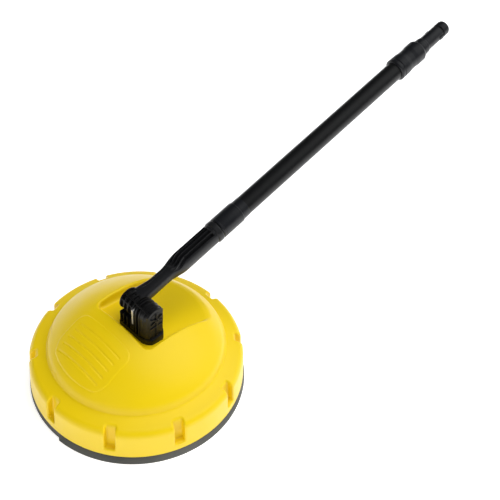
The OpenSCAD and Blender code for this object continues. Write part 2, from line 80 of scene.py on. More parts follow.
# The room: a pale horizon over dim walls, one soft patch of light behind, white where it is seen.
HORIZON, WALLS = (0.5, 0.5, 0.5, 1), (0.045, 0.045, 0.05, 1)
PATCH_WAY, PATCH_STRENGTH = (0.29, 0.65, 0.70), 0.9
world = bpy.data.worlds.new("studio")
scene.world = world
world.use_nodes = True
sky = world.node_tree
sky_place = sky.nodes.new("ShaderNodeTexCoord")
sky_parts = sky.nodes.new("ShaderNodeSeparateXYZ")
sky.links.new(sky_place.outputs["Generated"], sky_parts.inputs["Vector"])
sky_ramp = sky.nodes.new("ShaderNodeValToRGB")
for sky_stop, sky_height, sky_colour in zip(sky_ramp.color_ramp.elements, (0.02, 0.18), (HORIZON, WALLS)):
    sky_stop.position, sky_stop.color = sky_height, sky_colour
sky.links.new(sky_parts.outputs["Z"], sky_ramp.inputs["Fac"])
sky_patch = sky.nodes.new("ShaderNodeVectorMath")
sky_patch.operation = "DOT_PRODUCT"
sky_patch.inputs[1].default_value = PATCH_WAY
sky.links.new(sky_place.outputs["Generated"], sky_patch.inputs[0])
sky_soft = sky.nodes.new("ShaderNodeMapRange")
sky_soft.interpolation_type = "SMOOTHSTEP"
sky_soft.inputs["From Min"].default_value = 0.70
sky_soft.inputs["From Max"].default_value = 0.99
sky_soft.inputs["To Max"].default_value = PATCH_STRENGTH
sky.links.new(sky_patch.outputs["Value"], sky_soft.inputs["Value"])
sky_sum = sky.nodes.new("ShaderNodeVectorMath")
sky.links.new(sky_ramp.outputs["Color"], sky_sum.inputs[0])
sky.links.new(sky_soft.outputs["Result"], sky_sum.inputs[1])
sky.links.new(sky_sum.outputs["Vector"], sky.nodes["Background"].inputs["Color"])
sky_plain = sky.nodes.new("ShaderNodeBackground")
sky_plain.inputs["Color"].default_value = (1, 1, 1, 1)
sky_path = sky.nodes.new("ShaderNodeLightPath")
sky_mix = sky.nodes.new("ShaderNodeMixShader")
sky.links.new(sky_path.outputs["Is Camera Ray"], sky_mix.inputs[0])
sky.links.new(sky.nodes["Background"].outputs[0], sky_mix.inputs[1])
sky.links.new(sky_plain.outputs[0], sky_mix.inputs[2])
sky.links.new(sky_mix.outputs[0], sky.nodes["World Output"].inputs["Surface"])

# The table: wide, white and a little bright in itself, and clear from below for the underside.
TABLE_HALF, TABLE_WHITE, TABLE_GLOW = 60, (0.94, 0.94, 0.94, 1), 0.62
table_mesh = bpy.data.meshes.new("table")
table_corners = [(x * TABLE_HALF, y * TABLE_HALF, 0) for x, y in ((-1, -1), (1, -1), (1, 1), (-1, 1))]
table_mesh.from_pydata(table_corners, [], [(0, 1, 2, 3)])
table = bpy.data.objects.new("table", table_mesh)
scene.collection.objects.link(table)
table_paint = bpy.data.materials.new("white_table")
table_paint.use_nodes = True
table_tree = table_paint.node_tree
table_white = table_tree.nodes["Principled BSDF"]
table_white.inputs["Base Color"].default_value = TABLE_WHITE
table_white.inputs["Roughness"].default_value = 0.9
table_white.inputs["Emission Color"].default_value = (1, 1, 1, 1)
table_white.inputs["Emission Strength"].default_value = TABLE_GLOW
table_sides = table_tree.nodes.new("ShaderNodeNewGeometry")
table_clear = table_tree.nodes.new("ShaderNodeBsdfTransparent")
table_mix = table_tree.nodes.new("ShaderNodeMixShader")
table_tree.links.new(table_sides.outputs["Backfacing"], table_mix.inputs[0])
table_tree.links.new(table_white.outputs[0], table_mix.inputs[1])
table_tree.links.new(table_clear.outputs[0], table_mix.inputs[2])
table_tree.links.new(table_mix.outputs[0], table_tree.nodes["Material Output"].inputs["Surface"])
table_mesh.materials.append(table_paint)


# ---- hood -----------------------------------------------------------------------------------
# One injection moulding in yellow polypropylene: a skirt with ten notches, a flange, a dome with
# a raised grip panel, and a recess behind the crown for the lance joint. All edges are soft.
def finish(name, colour, roughness, grain, mottle=0.06, metallic=0.0, specular=0.5):
    """A moulded or drawn finish: broad tone drift, patchy gloss and a fine grain in the surface."""
    paint = bpy.data.materials.new(name)
    paint.use_nodes = True
    tree = paint.node_tree
    shader = tree.nodes["Principled BSDF"]
    shader.inputs["Metallic"].default_value = metallic
    shader.inputs["Specular IOR Level"].default_value = specular
    place = tree.nodes.new("ShaderNodeTexCoord")

    def noise(scale, detail):
        node = tree.nodes.new("ShaderNodeTexNoise")
        node.inputs["Scale"].default_value = scale
        node.inputs["Detail"].default_value = detail
        tree.links.new(place.outputs["Object"], node.inputs["Vector"])
        return node.outputs["Fac"]

    def spread(value, low, high):
        node = tree.nodes.new("ShaderNodeMapRange")
        node.inputs["From Min"].default_value = 0.3
        node.inputs["From Max"].default_value = 0.7
        node.inputs["To Min"].default_value = low
        node.inputs["To Max"].default_value = high
        tree.links.new(value, node.inputs["Value"])
        return node.outputs["Result"]

    tone = tree.nodes.new("ShaderNodeMix")
    tone.data_type = "RGBA"
    tone.inputs["A"].default_value = [c * (1 - mottle) for c in colour] + [1]
    tone.inputs["B"].default_value = [min(1, c * (1 + mottle)) for c in colour] + [1]
    tree.links.new(spread(noise(9, 3), 0, 1), tone.inputs["Factor"])
    tree.links.new(tone.outputs["Result"], shader.inputs["Base Color"])
    tree.links.new(spread(noise(60, 4), roughness * 0.88, roughness * 1.12), shader.inputs["Roughness"])
    bump = tree.nodes.new("ShaderNodeBump")
    bump.inputs["Strength"].default_value = grain
    bump.inputs["Distance"].default_value = 0.0002
    tree.links.new(noise(1500, 2), bump.inputs["Height"])
    tree.links.new(bump.outputs["Normal"], shader.inputs["Normal"])
    return paint


def piece(name, points, faces, paint, body, replaced=(), slot=None, sharp=math.radians(40)):
    """A finished mesh piece from millimetre points, smooth except at sharp edges."""
    mesh = bpy.data.meshes.new(name)
    mesh.from_pydata([tuple(0.001 * c for c in p) for p in points], [], faces)
    shape = bmesh.new()
    shape.from_mesh(mesh)
    bmesh.ops.remove_doubles(shape, verts=shape.verts, dist=2e-6)
    bmesh.ops.recalc_face_normals(shape, faces=shape.faces)
    for face in shape.faces:
        face.smooth = True
    for edge in shape.edges:
        edge.smooth = not (edge.is_manifold and edge.calc_face_angle(0) > sharp)
    shape.to_mesh(mesh)
    shape.free()
    mesh.materials.append(paint)
    obj = bpy.data.objects.new(name, mesh)
    scene.collection.objects.link(obj)
    return dress(obj, body, replaced, slot)


def dress(obj, body, replaced=(), slot=None):
    if body is None:
        return obj
    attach(obj, body)
    if replaced:
        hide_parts(*replaced)
    return obj


def round_and(a, b, r):
    """Where both fields are inside, with the outer corner rounded to radius r."""
    corner = np.hypot(np.maximum(a + r, 0), np.maximum(b + r, 0))
    return np.minimum(-r, np.maximum(a, b)) + corner


def round_or(a, b, r):
    """Where either field is inside, with the inner corner filled to radius r."""
    corner = np.hypot(np.maximum(r - a, 0), np.maximum(r - b, 0))
    return np.maximum(r, np.minimum(a, b)) - corner


WALL = 3.0
SKIRT_R, SKIRT_Z = 142.6, 9.7  # lower edge of the skirt
SKIRT_LEAN, FLANGE_FALL = 0.0598, 0.364  # drawn in per millimetre up, lowered per millimetre out
DOME_R, RING_Z = 116.7, 60.7  # where the dome rises out of the flange
SPHERE_Z, SPHERE_R = -33.2, 153.5  # the ball that the dome is a part of
NOTCHES, NOTCH_HALF, LEDGE_Z = 10, 6.5, 21.0
RECESS_HALF, RECESS_FRONT, RECESS_CORNER = 51.0, -25.5, 10.0
FLOOR_Z, FLOOR_FALL = 97.0, 0.123  # the recess's floor falls towards the back
PANEL_X, PANEL_HALF, PANEL_TOP, PANEL_REACH, PANEL_ROUND = -4.0, 49.0, -42.5, 106.0, 12
GROOVES, GROOVE_Y, GROOVE_STEP, GROOVE_HALF = 5, -56.3, -9.15, 38.5
RIM_ROUND, NOTCH_ROUND, DOME_ROUND, RECESS_ROUND = 6.5, 2.8, 4.5, 3.5
JOIN_R = 124.0  # the rim's strips meet the crown's here
SEAT_HOLES = [  # spigot, pipe and four screws: x, y, radius
    (0, 0, 12.3), (33.5, 0, 6.3), (-9, -10.5, 1.3), (-9, 10.5, 1.3), (25, -10.5, 2.4), (25, 10.5, 2.4),
]
PANEL_RISE, GROOVE_DEPTH, GROOVE_WIDE = 0.65, 0.65, 1.7
NOTCH_BACK_R, NOTCH_BACK_LEAN = 133.5, 0.114
RECESS_DRAFT, RECESS_RIM_Z = 0.05, 117


def recess_edge(x, y):
    """Distance in plan from the recess's outline, negative inside it."""
    u = np.abs(x) - (RECESS_HALF - RECESS_CORNER)
    v = (RECESS_FRONT + RECESS_CORNER) - y
    out = np.hypot(np.maximum(u, 0), np.maximum(v, 0))
    return out + np.minimum(np.maximum(u, v), 0) - RECESS_CORNER


def panel_edge(x, y):
    u = np.abs(x - PANEL_X) - PANEL_HALF
    top = round_and(u, y - PANEL_TOP, PANEL_ROUND)
    return round_and(top, np.hypot(x, y) - PANEL_REACH, PANEL_ROUND)


def groove_edge(x, y):
    away = np.full(np.shape(x), 1e3)
    for i in range(GROOVES):
        u = np.maximum(np.abs(x - PANEL_X) - GROOVE_HALF, 0)
        away = np.minimum(away, np.hypot(u, y - GROOVE_Y - i * GROOVE_STEP))
    return away


def hood_field(p, inset=0.0):
    """Signed distance from the moulding's outer skin, or from its inner one when inset by the wall.

    The factors near one keep each sloping face's distance true.
    """
    x, y, z = p[:, 0], p[:, 1], p[:, 2]
    r = np.hypot(x, y)
    soft = 1.0 if inset == 0 else 0.4
    skirt = (r - SKIRT_R + SKIRT_LEAN * (z - SKIRT_Z)) * 0.998 + inset
    flange = (z - RING_Z + FLANGE_FALL * (r - DOME_R)) * 0.940 + inset
    rim = round_and(skirt, flange, RIM_ROUND * soft)
    turn = np.arctan2(y, x) - math.radians(90)
    sector = 2 * math.pi / NOTCHES
    turn = turn - sector * np.round(turn / sector)
    side = r * np.abs(np.sin(turn)) - NOTCH_HALF - inset
    back = (NOTCH_BACK_R - NOTCH_BACK_LEAN * (z - LEDGE_Z) - r) * 0.994 - inset
    notch = round_and(round_and(side, back, 2.5 * soft), LEDGE_Z - inset - z, 2.0 * soft)
    rim = round_and(rim, -notch, NOTCH_ROUND * soft)
    dome = np.sqrt(r * r + (z - SPHERE_Z) ** 2) - SPHERE_R + inset
    step = (r - DOME_R - 0.3 + 0.15 * (z - RING_Z)) * 0.989 + inset
    dome = round_and(dome, step, DOME_ROUND * soft)
    if inset == 0:
        dome = dome - PANEL_RISE * smooth_step(-panel_edge(x, y), -0.8, 0.8)
        cut = np.clip(1 - (groove_edge(x, y) / GROOVE_WIDE) ** 2, 0, 1)
        dome = dome + GROOVE_DEPTH * cut * cut
    solid = round_or(rim, dome, 1.2 * soft)
    wall = recess_edge(x, y) - inset + RECESS_DRAFT * (RECESS_RIM_Z - z)
    floor = (FLOOR_Z - inset - FLOOR_FALL * y - z) * 0.9925
    return round_and(solid, -round_and(wall, floor, 4.0 * soft), RECESS_ROUND * soft)


def smooth_step(v, low, high):
    t = np.clip((v - low) / (high - low), 0, 1)
    return t * t * (3 - 2 * t)


def field_slope(p, inset):
    step = 0.02
    slope = np.empty_like(p)
    for k in range(3):
        shift = np.zeros(3)
        shift[k] = step
        slope[:, k] = (hood_field(p + shift, inset) - hood_field(p - shift, inset)) / (2 * step)
    return slope


def settle(p, inset):
    """Moves points onto the skin along the field's slope."""
    for _ in range(6):
        slope = field_slope(p, inset)
        p = p - slope * (hood_field(p, inset) / np.maximum((slope**2).sum(1), 0.2))[:, None]
    return p


def drop(plan, inset):
    """Heights of the skin over points in plan, by halving."""
    low, high = np.full(len(plan), 50.0 - inset), np.full(len(plan), 130.0)
    for _ in range(26):
        mid = (low + high) / 2
        inside = hood_field(np.column_stack([plan, mid]), inset) < 0
        low, high = np.where(inside, mid, low), np.where(inside, high, mid)
    return np.column_stack([plan, (low + high) / 2])


def rim_strip(inset):
    """The rim from the join circle to the lip, settled on the field: columns bunch at the notches."""
    # Distances of the columns from a notch's middle; the others stand at even turns.
    near = [0, 2, 3.4, 4.2, 4.8, 5.3, 5.7, 6.0, 6.2, 6.35, 6.5, 6.65, 6.8, 7.0, 7.3, 7.7, 8.2, 8.8, 9.8, 11.5]
    sector = 2 * math.pi / NOTCHES
    join = JOIN_R - inset
    far_first = math.asin((near[-1] + inset) / join) + 0.015
    far = list(np.linspace(far_first, sector / 2, 9 if inset == 0 else 6))

    def flange_at(r):
        return (r, RING_Z - FLANGE_FALL * (r - DOME_R) - inset / 0.94)

    def skirt_at(z):
        return (SKIRT_R - SKIRT_LEAN * (z - SKIRT_Z) - inset, z)

    def notch_at(z):
        return (NOTCH_BACK_R - NOTCH_BACK_LEAN * (z - LEDGE_Z), z)

    # Between the notches: flange, rounded rim, skirt.
    plain = [flange_at(r) for r in np.linspace(join, 132, 6)]
    plain += [(132 + 8.4 * math.sin(a), 46 + 8.6 * math.cos(a)) for a in np.linspace(0.25, 1.5, 8)]
    plain += [skirt_at(z) for z in np.linspace(44.5, 25.2, 8)]
    plain += [skirt_at(z) for z in np.linspace(24.6, 18.4, 10)]
    plain += [skirt_at(z) for z in (16, 13, 11)]
    # Down a notch: flange, rounded edge, back wall, ledge, skirt.
    cut = [flange_at(r) for r in np.linspace(join, 126.6, 6)]
    cut += [(126.9 + 2.6 * math.sin(a), 53.8 + 2.6 * math.cos(a)) for a in np.linspace(0.2, 1.4, 8)]
    cut += [notch_at(z) for z in np.linspace(50, 24.2, 8)]
    cut += [
        (NOTCH_BACK_R + u, LEDGE_Z + 2.6 * max(0, 1 - u / 2) ** 2) for u in (0.1, 0.5, 1.1, 1.9, 4, 6.4, 7.3)
    ]
    cut += [skirt_at(z) for z in (20.4, 19.6, 18.4, 16, 13, 11)]
    plain, cut = np.array(plain), np.array(cut)
    cut[14:31, 0] -= inset
    cut[6:31, 1] -= inset
    columns = []
    steps = len(near) + len(far)
    for k in range(NOTCHES):
        middle = math.radians(90) + k * sector
        for sign, order in ((-1, range(steps - 2, -1, -1)), (1, range(1, steps))):
            for i in order:
                if i < len(near):
                    s = near[i] + inset * (i > 0)
                    edge = NOTCH_HALF + inset
                    weight = float(smooth_step(np.array(s), edge + 0.5, edge - 0.5))
                    line = cut * weight + plain * (1 - weight)
                    angle = middle + sign * np.arcsin(s / line[:, 0])
                else:
                    line = plain
                    angle = np.full(len(line), middle + sign * far[i - len(near)])
                r, z = line.T
                columns.append(np.column_stack([r * np.cos(angle), r * np.sin(angle), z]))
    grid = np.array(columns)
    flat = settle(grid.reshape(-1, 3), inset)
    return flat.reshape(grid.shape)


def ring_rows(fine):
    """Radii of the rows either side of the ring where the dome meets the flange."""
    if not fine:
        return [120, 118, 116.5, 115.5, 114.8, 114.2, 113.4, 112.4, 110.5, 107.5]
    rows = [122.4, 121, 119.9, 119, 118.4, 117.9, 117.5, 117.2, 116.9, 116.6, 116.3, 115.9, 115.4]
    return rows + [114.7, 113.8, 112.6, 111, 108.8, 106]


def recess_rows(inset):
    """Distances from the recess's outline of the rows that run beside it."""
    if inset:
        return [v + inset for v in (-6, -4, -2.5, -1.6, -1, -0.5, 0, 0.6, 1.4, 3, 5)]
    rows = [-9, -7, -5.6, -4.8, -4.1, -3.5, -2.9, -2.4, -2, -1.6, -1.3, -1.0, -0.7, -0.4, -0.15, 0.1, 0.4]
    return rows + [0.8, 1.3, 1.8, 2.4, 3.0, 3.8, 5, 6.6]


def recess_lip(turn, inset):
    """Where the recess floor runs out of the dome at the back, as a radius."""
    low, high = 60.0, 115.0
    for _ in range(30):
        mid = (low + high) / 2
        sphere = SPHERE_Z + math.sqrt((SPHERE_R - inset) ** 2 - mid * mid)
        if sphere > FLOOR_Z - inset - FLOOR_FALL * mid * math.sin(turn):
            low = mid
        else:
            high = mid
    return low


def panel_rows():
    """Rows along the grip panel's outline, along each groove and round the grooves' ends."""
    rows = []
    outline = panel_outline()
    normal = np.roll(outline, -1, 0) - np.roll(outline, 1, 0)
    normal = np.column_stack([normal[:, 1], -normal[:, 0]]) / np.hypot(*normal.T)[:, None]
    for d in (-2.4, -1.4, -0.9, -0.6, -0.35, -0.12, 0.12, 0.35, 0.6, 0.9, 1.4, 2.4):
        rows.append(outline + normal * d)
    for i in range(GROOVES):
        y = GROOVE_Y + i * GROOVE_STEP
        for d in (-2.4, -1.6, -1.3, -1.05, -0.75, -0.4, 0, 0.4, 0.75, 1.05, 1.3, 1.6, 2.4):
            xs = np.arange(-GROOVE_HALF, GROOVE_HALF + 0.1, 2.2) + PANEL_X
            rows.append(np.column_stack([xs, np.full(len(xs), y + d)]))
        for d in (0.5, 0.9, 1.2, 1.5, 2.2):
            for a in np.linspace(-1.2, 1.2, 7):
                for sign in (-1, 1):
                    end = GROOVE_HALF + d * math.cos(a)
                    rows.append(np.array([[PANEL_X + sign * end, y + d * math.sin(a)]]))
    return rows


def crown_points(inset):
    """Plan points of the crown: rows beside each feature, and an even fill between them."""
    fine = inset == 0
    points = []
    turns = np.arange(0, 2 * math.pi, 2 * math.pi / (300 if fine else 150))
    for r in ring_rows(fine):
        points.append(np.column_stack([r * np.cos(turns), r * np.sin(turns)]))
    step = 2.2 if fine else 3.5
    front, left = RECESS_FRONT + RECESS_CORNER, RECESS_CORNER - RECESS_HALF
    for d in recess_rows(inset):
        half, corner = RECESS_HALF + d, RECESS_CORNER + d
        bend = np.linspace(0, math.pi / 2, 9 if corner > 1.5 else 3)
        corner = max(corner, 0.2)
        for sign in (-1, 1):
            ys = np.arange(front, 108.0, step)
            points.append(np.column_stack([np.full(len(ys), sign * half), ys]))
            across = sign * (-left + corner * np.sin(bend))
            points.append(np.column_stack([across, front - corner * np.cos(bend)]))
        xs = np.arange(left, -left + 0.1, step)
        points.append(np.column_stack([xs, np.full(len(xs), RECESS_FRONT - d)]))
    lip_turns = np.linspace(math.radians(50), math.radians(130), 90 if fine else 40)
    for d in (-6, -4.2, -3, -2.2, -1.6, -1.1, -0.6, -0.2, 0.2, 0.6, 1.1, 1.6, 2.2, 3, 4.2, 6):
        for turn in lip_turns:
            r = recess_lip(turn, inset) + d
            points.append(np.array([[r * math.cos(turn), r * math.sin(turn)]]))
    if fine:
        points += panel_rows()
    points = np.vstack(points)
    points = points[np.hypot(*points.T) < JOIN_R - inset - 1.2]
    for x, y, r in SEAT_HOLES:
        points = points[np.hypot(points[:, 0] - x, points[:, 1] - y) > r + 1.5]
    points = thinned(points, 0.22 if fine else 0.45)
    pitch = 3.6 if fine else 5.5
    across, along = np.meshgrid(np.arange(-124, 124, pitch), np.arange(-124, 124, pitch * 0.866))
    shift = (np.round(along / pitch / 0.866) % 2) * pitch / 2
    fill = np.column_stack([(across + shift).ravel(), along.ravel()])
    fill = fill[np.hypot(*fill.T) < JOIN_R - inset - 2.5]
    return points, clear_of(fill, points, pitch * 0.62)


def cells(points, size):
    table = {}
    for i, (x, y) in enumerate(points):
        table.setdefault((math.floor(x / size), math.floor(y / size)), []).append(i)
    return table


def thinned(points, gap):
    """Points kept at least gap apart, the first ones winning; hole rims come first."""
    kept, table = [], {}
    for x, y in points[::-1]:
        key = (math.floor(x / gap), math.floor(y / gap))
        close = False
        for i in (-1, 0, 1):
            for j in (-1, 0, 1):
                for u, v in table.get((key[0] + i, key[1] + j), ()):
                    close = close or (u - x) ** 2 + (v - y) ** 2 < gap * gap
        if not close:
            table.setdefault(key, []).append((x, y))
            kept.append((x, y))
    return np.array(kept)


def clear_of(fill, points, gap):
    table = cells(points, gap)
    kept = []
    for x, y in fill:
        key = (math.floor(x / gap), math.floor(y / gap))
        near = [n for i in (-1, 0, 1) for j in (-1, 0, 1) for n in table.get((key[0] + i, key[1] + j), ())]
        if all((points[n, 0] - x) ** 2 + (points[n, 1] - y) ** 2 > gap * gap for n in near):
            kept.append((x, y))
    return np.array(kept)


def panel_outline():
    """Points round the panel, found along rays from its middle."""
    middle = np.array([PANEL_X, -74.0])
    turns = np.arange(0, 2 * math.pi, 2 * math.pi / 150)
    rays = np.column_stack([np.cos(turns), np.sin(turns)])
    low, high = np.zeros(len(turns)), np.full(len(turns), 80.0)
    for _ in range(26):
        mid = (low + high) / 2
        spot = middle + rays * mid[:, None]
        inside = panel_edge(spot[:, 0], spot[:, 1]) < 0
        low, high = np.where(inside, mid, low), np.where(inside, high, mid)
    return middle + rays * low[:, None]


def hole_edge(hole):
    x, y, r = hole
    around = np.arange(0, 2 * math.pi, 2 * math.pi / 40)
    return np.column_stack([x + r * np.cos(around), y + r * np.sin(around)])


def crown_skin(inset, join):
    """The crown's triangles, with the screw and pipe holes left open."""
    rows, fill = crown_points(inset)
    for x, y, r in SEAT_HOLES:
        fill = fill[np.hypot(fill[:, 0] - x, fill[:, 1] - y) > r + 1.5]
    join = join[np.argsort(np.arctan2(join[:, 1], join[:, 0]))]
    loops = [join[:, :2]] + [hole_edge(hole) for hole in SEAT_HOLES]
    edges, start = [], 0
    for loop in loops:
        edges += [(start + i, start + (i + 1) % len(loop)) for i in range(len(loop))]
        start += len(loop)
    plan = np.vstack(loops + [rows, fill])
    found = geometry.delaunay_2d_cdt([Vector(p) for p in plan], edges, [], 1, 1e-7)
    plan = np.array([tuple(v) for v in found[0]])
    faces = np.array([tuple(f) for f in found[2]])
    centre = plan[faces].mean(1)
    kept = np.hypot(*centre.T) < JOIN_R
    for x, y, r in SEAT_HOLES:
        kept &= np.hypot(centre[:, 0] - x, centre[:, 1] - y) > r
    faces = faces[kept]
    points = drop(plan, inset)
    rim = np.hypot(*plan.T) > JOIN_R - inset - 0.6
    for i in np.flatnonzero(rim):
        nearest = np.argmin(((join[:, :2] - plan[i]) ** 2).sum(1))
        points[i] = join[nearest]
    return points, faces


def hood_mesh():
    """Outer and inner skins, the lip between them and the holes' walls; skin says which is which."""
    outer, inner = rim_strip(0.0), rim_strip(WALL)
    points, faces, skin = [], [], []  # skin: 1 outer, 2 inner, 0 between

    def add(new_points, new_faces, kind):
        start = len(points)
        points.extend(map(tuple, new_points))
        faces.extend(tuple(start + i for i in f) for f in new_faces)
        skin.extend([kind] * len(new_points))

    for grid, kind in ((outer, 1), (inner, 2)):
        count, rows = grid.shape[:2]
        quads = []
        for c in range(count):
            d = (c + 1) % count
            for i in range(rows - 1):
                quad = (c * rows + i, c * rows + i + 1, d * rows + i + 1, d * rows + i)
                quads.append(quad if kind == 1 else quad[::-1])
        add(grid.reshape(-1, 3), quads, kind)
    turns = np.arctan2(outer[:, -1, 1], outer[:, -1, 0])
    lip = [
        (SKIRT_R - 0.02, 10.5), (SKIRT_R - 0.1, 10.1), (SKIRT_R - 0.4, SKIRT_Z + 0.1), (SKIRT_R - 0.8, SKIRT_Z),
        (SKIRT_R - WALL + 0.8, SKIRT_Z), (SKIRT_R - WALL + 0.3, SKIRT_Z + 0.2), (SKIRT_R - WALL, 10.6),
    ]
    columns = np.array([[(r * math.cos(t), r * math.sin(t), z) for r, z in lip] for t in turns])
    ring = np.concatenate([outer[:, -1][:, None], columns], 1)[np.argsort(turns)]
    count, rows = ring.shape[:2]
    quads = []
    for c in range(count):
        d = (c + 1) % count
        quads += [(c * rows + i, c * rows + i + 1, d * rows + i + 1, d * rows + i) for i in range(rows - 1)]
    add(ring.reshape(-1, 3), quads, 0)
    inner_turn = np.arctan2(inner[:, -1, 1], inner[:, -1, 0])
    stitch(ring[:, -1], inner[np.argsort(inner_turn)][:, -1], add)
    for kind, inset, grid in ((1, 0.0, outer), (2, WALL, inner)):
        crown, triangles = crown_skin(inset, grid[:, 0])
        first, second, third = (crown[triangles[:, i]] for i in range(3))
        down = (np.cross(second - first, third - first)[:, 2] < 0) != (kind == 2)
        triangles = np.where(down[:, None], triangles[:, ::-1], triangles)
        add(crown, triangles, kind)
    for hole in SEAT_HOLES:
        edge = hole_edge(hole)
        top, bottom = drop(edge, 0.0), drop(edge, WALL)
        n = len(edge)
        add(np.vstack([top, bottom]), [(i, (i + 1) % n, n + (i + 1) % n, n + i) for i in range(n)], 0)
    return np.array(points), faces, skin


def stitch(first, second, add):
    """Joins two rings of points, both sorted by their turn, with triangles."""
    a = np.arctan2(first[:, 1], first[:, 0])
    b = np.arctan2(second[:, 1], second[:, 0])
    i = j = 0
    triangles = []
    n, m = len(a), len(b)
    while i < n or j < m:
        turn_a = (a[(i + 1) % n] + 2 * math.pi * ((i + 1) // n)) if i < n else 1e9
        turn_b = (b[(j + 1) % m] + 2 * math.pi * ((j + 1) // m)) if j < m else 1e9
        if turn_a <= turn_b:
            triangles.append((i % n, (i + 1) % n, n + j % m))
            i += 1
        else:
            triangles.append((i % n, n + (j + 1) % m, n + j % m))
            j += 1
    add(np.vstack([first, second]), triangles, 0)


hood_yellow = finish("yellow_hood", (0.88, 0.63, 0.004), 0.36, 0.12, mottle=0.015, specular=0.36)
hood_points, hood_faces, hood_skin = hood_mesh()
hood_shape = bpy.data.meshes.new("hood")
hood_shape.from_pydata([tuple(0.001 * c for c in p) for p in hood_points], [], hood_faces)
skin_mark = hood_shape.attributes.new("skin", "INT", "POINT")
skin_mark.data.foreach_set("value", hood_skin)
shape = bmesh.new()
shape.from_mesh(hood_shape)
bmesh.ops.remove_doubles(shape, verts=shape.verts, dist=4e-6)
bmesh.ops.delete(shape, geom=[v for v in shape.verts if not v.link_faces], context="VERTS")
for face in shape.faces:
    face.smooth = True
shape.to_mesh(hood_shape)
shape.free()
hood_co = np.empty(len(hood_shape.vertices) * 3)
hood_shape.vertices.foreach_get("co", hood_co)
hood_co = hood_co.reshape(-1, 3) * 1000
skins = np.empty(len(hood_shape.vertices), dtype=np.int32)
hood_shape.attributes["skin"].data.foreach_get("value", skins)
normals = np.zeros_like(hood_co)
for kind, inset, way in ((1, 0.0, 1), (2, WALL, -1)):
    slope = field_slope(hood_co[skins == kind], inset)
    normals[skins == kind] = way * slope / np.linalg.norm(slope, axis=1)[:, None]
hood_shape.normals_split_custom_set_from_vertices(normals)
hood_shape.attributes.remove(hood_shape.attributes["skin"])
hood_shape.materials.append(hood_yellow)
hood = bpy.data.objects.new("hood", hood_shape)
scene.collection.objects.link(hood)
dress(hood, "hood", ["hood_shell"], "yellow_hood")

# ---- hood bosses ----------------------------------------------------------------------------
# Ten ribbed screw bosses moulded inside the skirt and eight under the recess floor: they take the
# carrier's, the base's and the bearing housing's self-tapping screws.
def rounded(outline, steps=4):
    """An outline with filleted corners: each corner is (a, b, radius)."""
    path = []
    count = len(outline)
    for i, (a, b, r) in enumerate(outline):
        here = np.array((a, b), float)
        back = np.array(outline[i - 1][:2], float) - here
        ahead = np.array(outline[(i + 1) % count][:2], float) - here
        back_len, ahead_len = np.hypot(*back), np.hypot(*ahead)
        if r <= 0:
            path.append(tuple(here))
            continue
        back, ahead = back / back_len, ahead / ahead_len
        half = math.acos(float(np.clip(back @ ahead, -1, 1))) / 2
        run = min(r / math.tan(half), back_len * 0.49, ahead_len * 0.49)
        r = run * math.tan(half)
        middle = here + (back + ahead) / np.hypot(*(back + ahead)) * (r / math.sin(half))
        first, last = here + back * run - middle, here + ahead * run - middle
        turn = math.atan2(first[0] * last[1] - first[1] * last[0], first @ last)
        for k in range(steps + 1):
            angle = turn * k / steps
            c, s = math.cos(angle), math.sin(angle)
            path.append((middle[0] + c * first[0] - s * first[1], middle[1] + s * first[0] + c * first[1]))
    return path


def lathe(outline, place=Matrix(), steps=64):
    """A closed outline of (radius, height) turned about the local Z axis."""
    turns = np.arange(steps) * 2 * math.pi / steps
    line = np.array(outline)
    points = np.array([(r * math.cos(t), r * math.sin(t), z) for t in turns for r, z in line])
    n = len(line)
    faces = [
        (c * n + i, ((c + 1) % steps) * n + i, ((c + 1) % steps) * n + (i + 1) % n, c * n + (i + 1) % n)
        for c in range(steps)
        for i in range(n)
    ]
    return moved(points, place), faces


def moved(points, place):
    turn = np.array(place.to_3x3())
    return np.asarray(points) @ turn.T + np.array(place.translation)


def loft(rows, place=Matrix()):
    """Closed rows of the same count of points, joined in order and capped at both ends."""
    rows = [np.asarray(row, float) for row in rows]
    n = len(rows[0])
    faces = [
        (k * n + i, k * n + (i + 1) % n, (k + 1) * n + (i + 1) % n, (k + 1) * n + i)
        for k in range(len(rows) - 1)
        for i in range(n)
    ]
    faces.append(tuple(range(n))[::-1])
    faces.append(tuple((len(rows) - 1) * n + i for i in range(n)))
    return moved(np.vstack(rows), place), faces


def drawn_in(outline, distance):
    """The outline moved inwards, square to its sides."""
    line = np.asarray(outline, float)
    run = np.roll(line, -1, 0) - np.roll(line, 1, 0)
    area = (line[:, 0] * np.roll(line[:, 1], -1) - np.roll(line[:, 0], -1) * line[:, 1]).sum()
    normal = np.column_stack([-run[:, 1], run[:, 0]]) * (1 if area > 0 else -1)
    return line + distance * normal / np.maximum(np.hypot(*normal.T), 1e-9)[:, None]


def plate(outline, low, high, edge, place=Matrix()):
    """An outline in the local XY plane given thickness along Z, with rounded edges."""
    rows = []
    for angle in np.linspace(0, math.pi / 2, 4):
        drawn = drawn_in(outline, edge * (1 - math.sin(angle)))
        rows.append(np.column_stack([drawn, np.full(len(drawn), low + edge * (1 - math.cos(angle)))]))
    for angle in np.linspace(math.pi / 2, 0, 4):
        drawn = drawn_in(outline, edge * (1 - math.sin(angle)))
        rows.append(np.column_stack([drawn, np.full(len(drawn), high - edge * (1 - math.cos(angle)))]))
    return loft(rows, place)


def block(size, edge, place=Matrix()):
    """A bar with rounded edges, centred on the local origin."""
    x, y, z = (s / 2 for s in size)
    return plate(rounded([(-x, -y, edge), (x, -y, edge), (x, y, edge), (-x, y, edge)]), -z, z, edge, place)


def joined(*parts):
    points, faces, start = [], [], 0
    for part_points, part_faces in parts:
        points.append(part_points)
        faces += [tuple(start + i for i in face) for face in part_faces]
        start += len(part_points)
    return np.vstack(points), faces


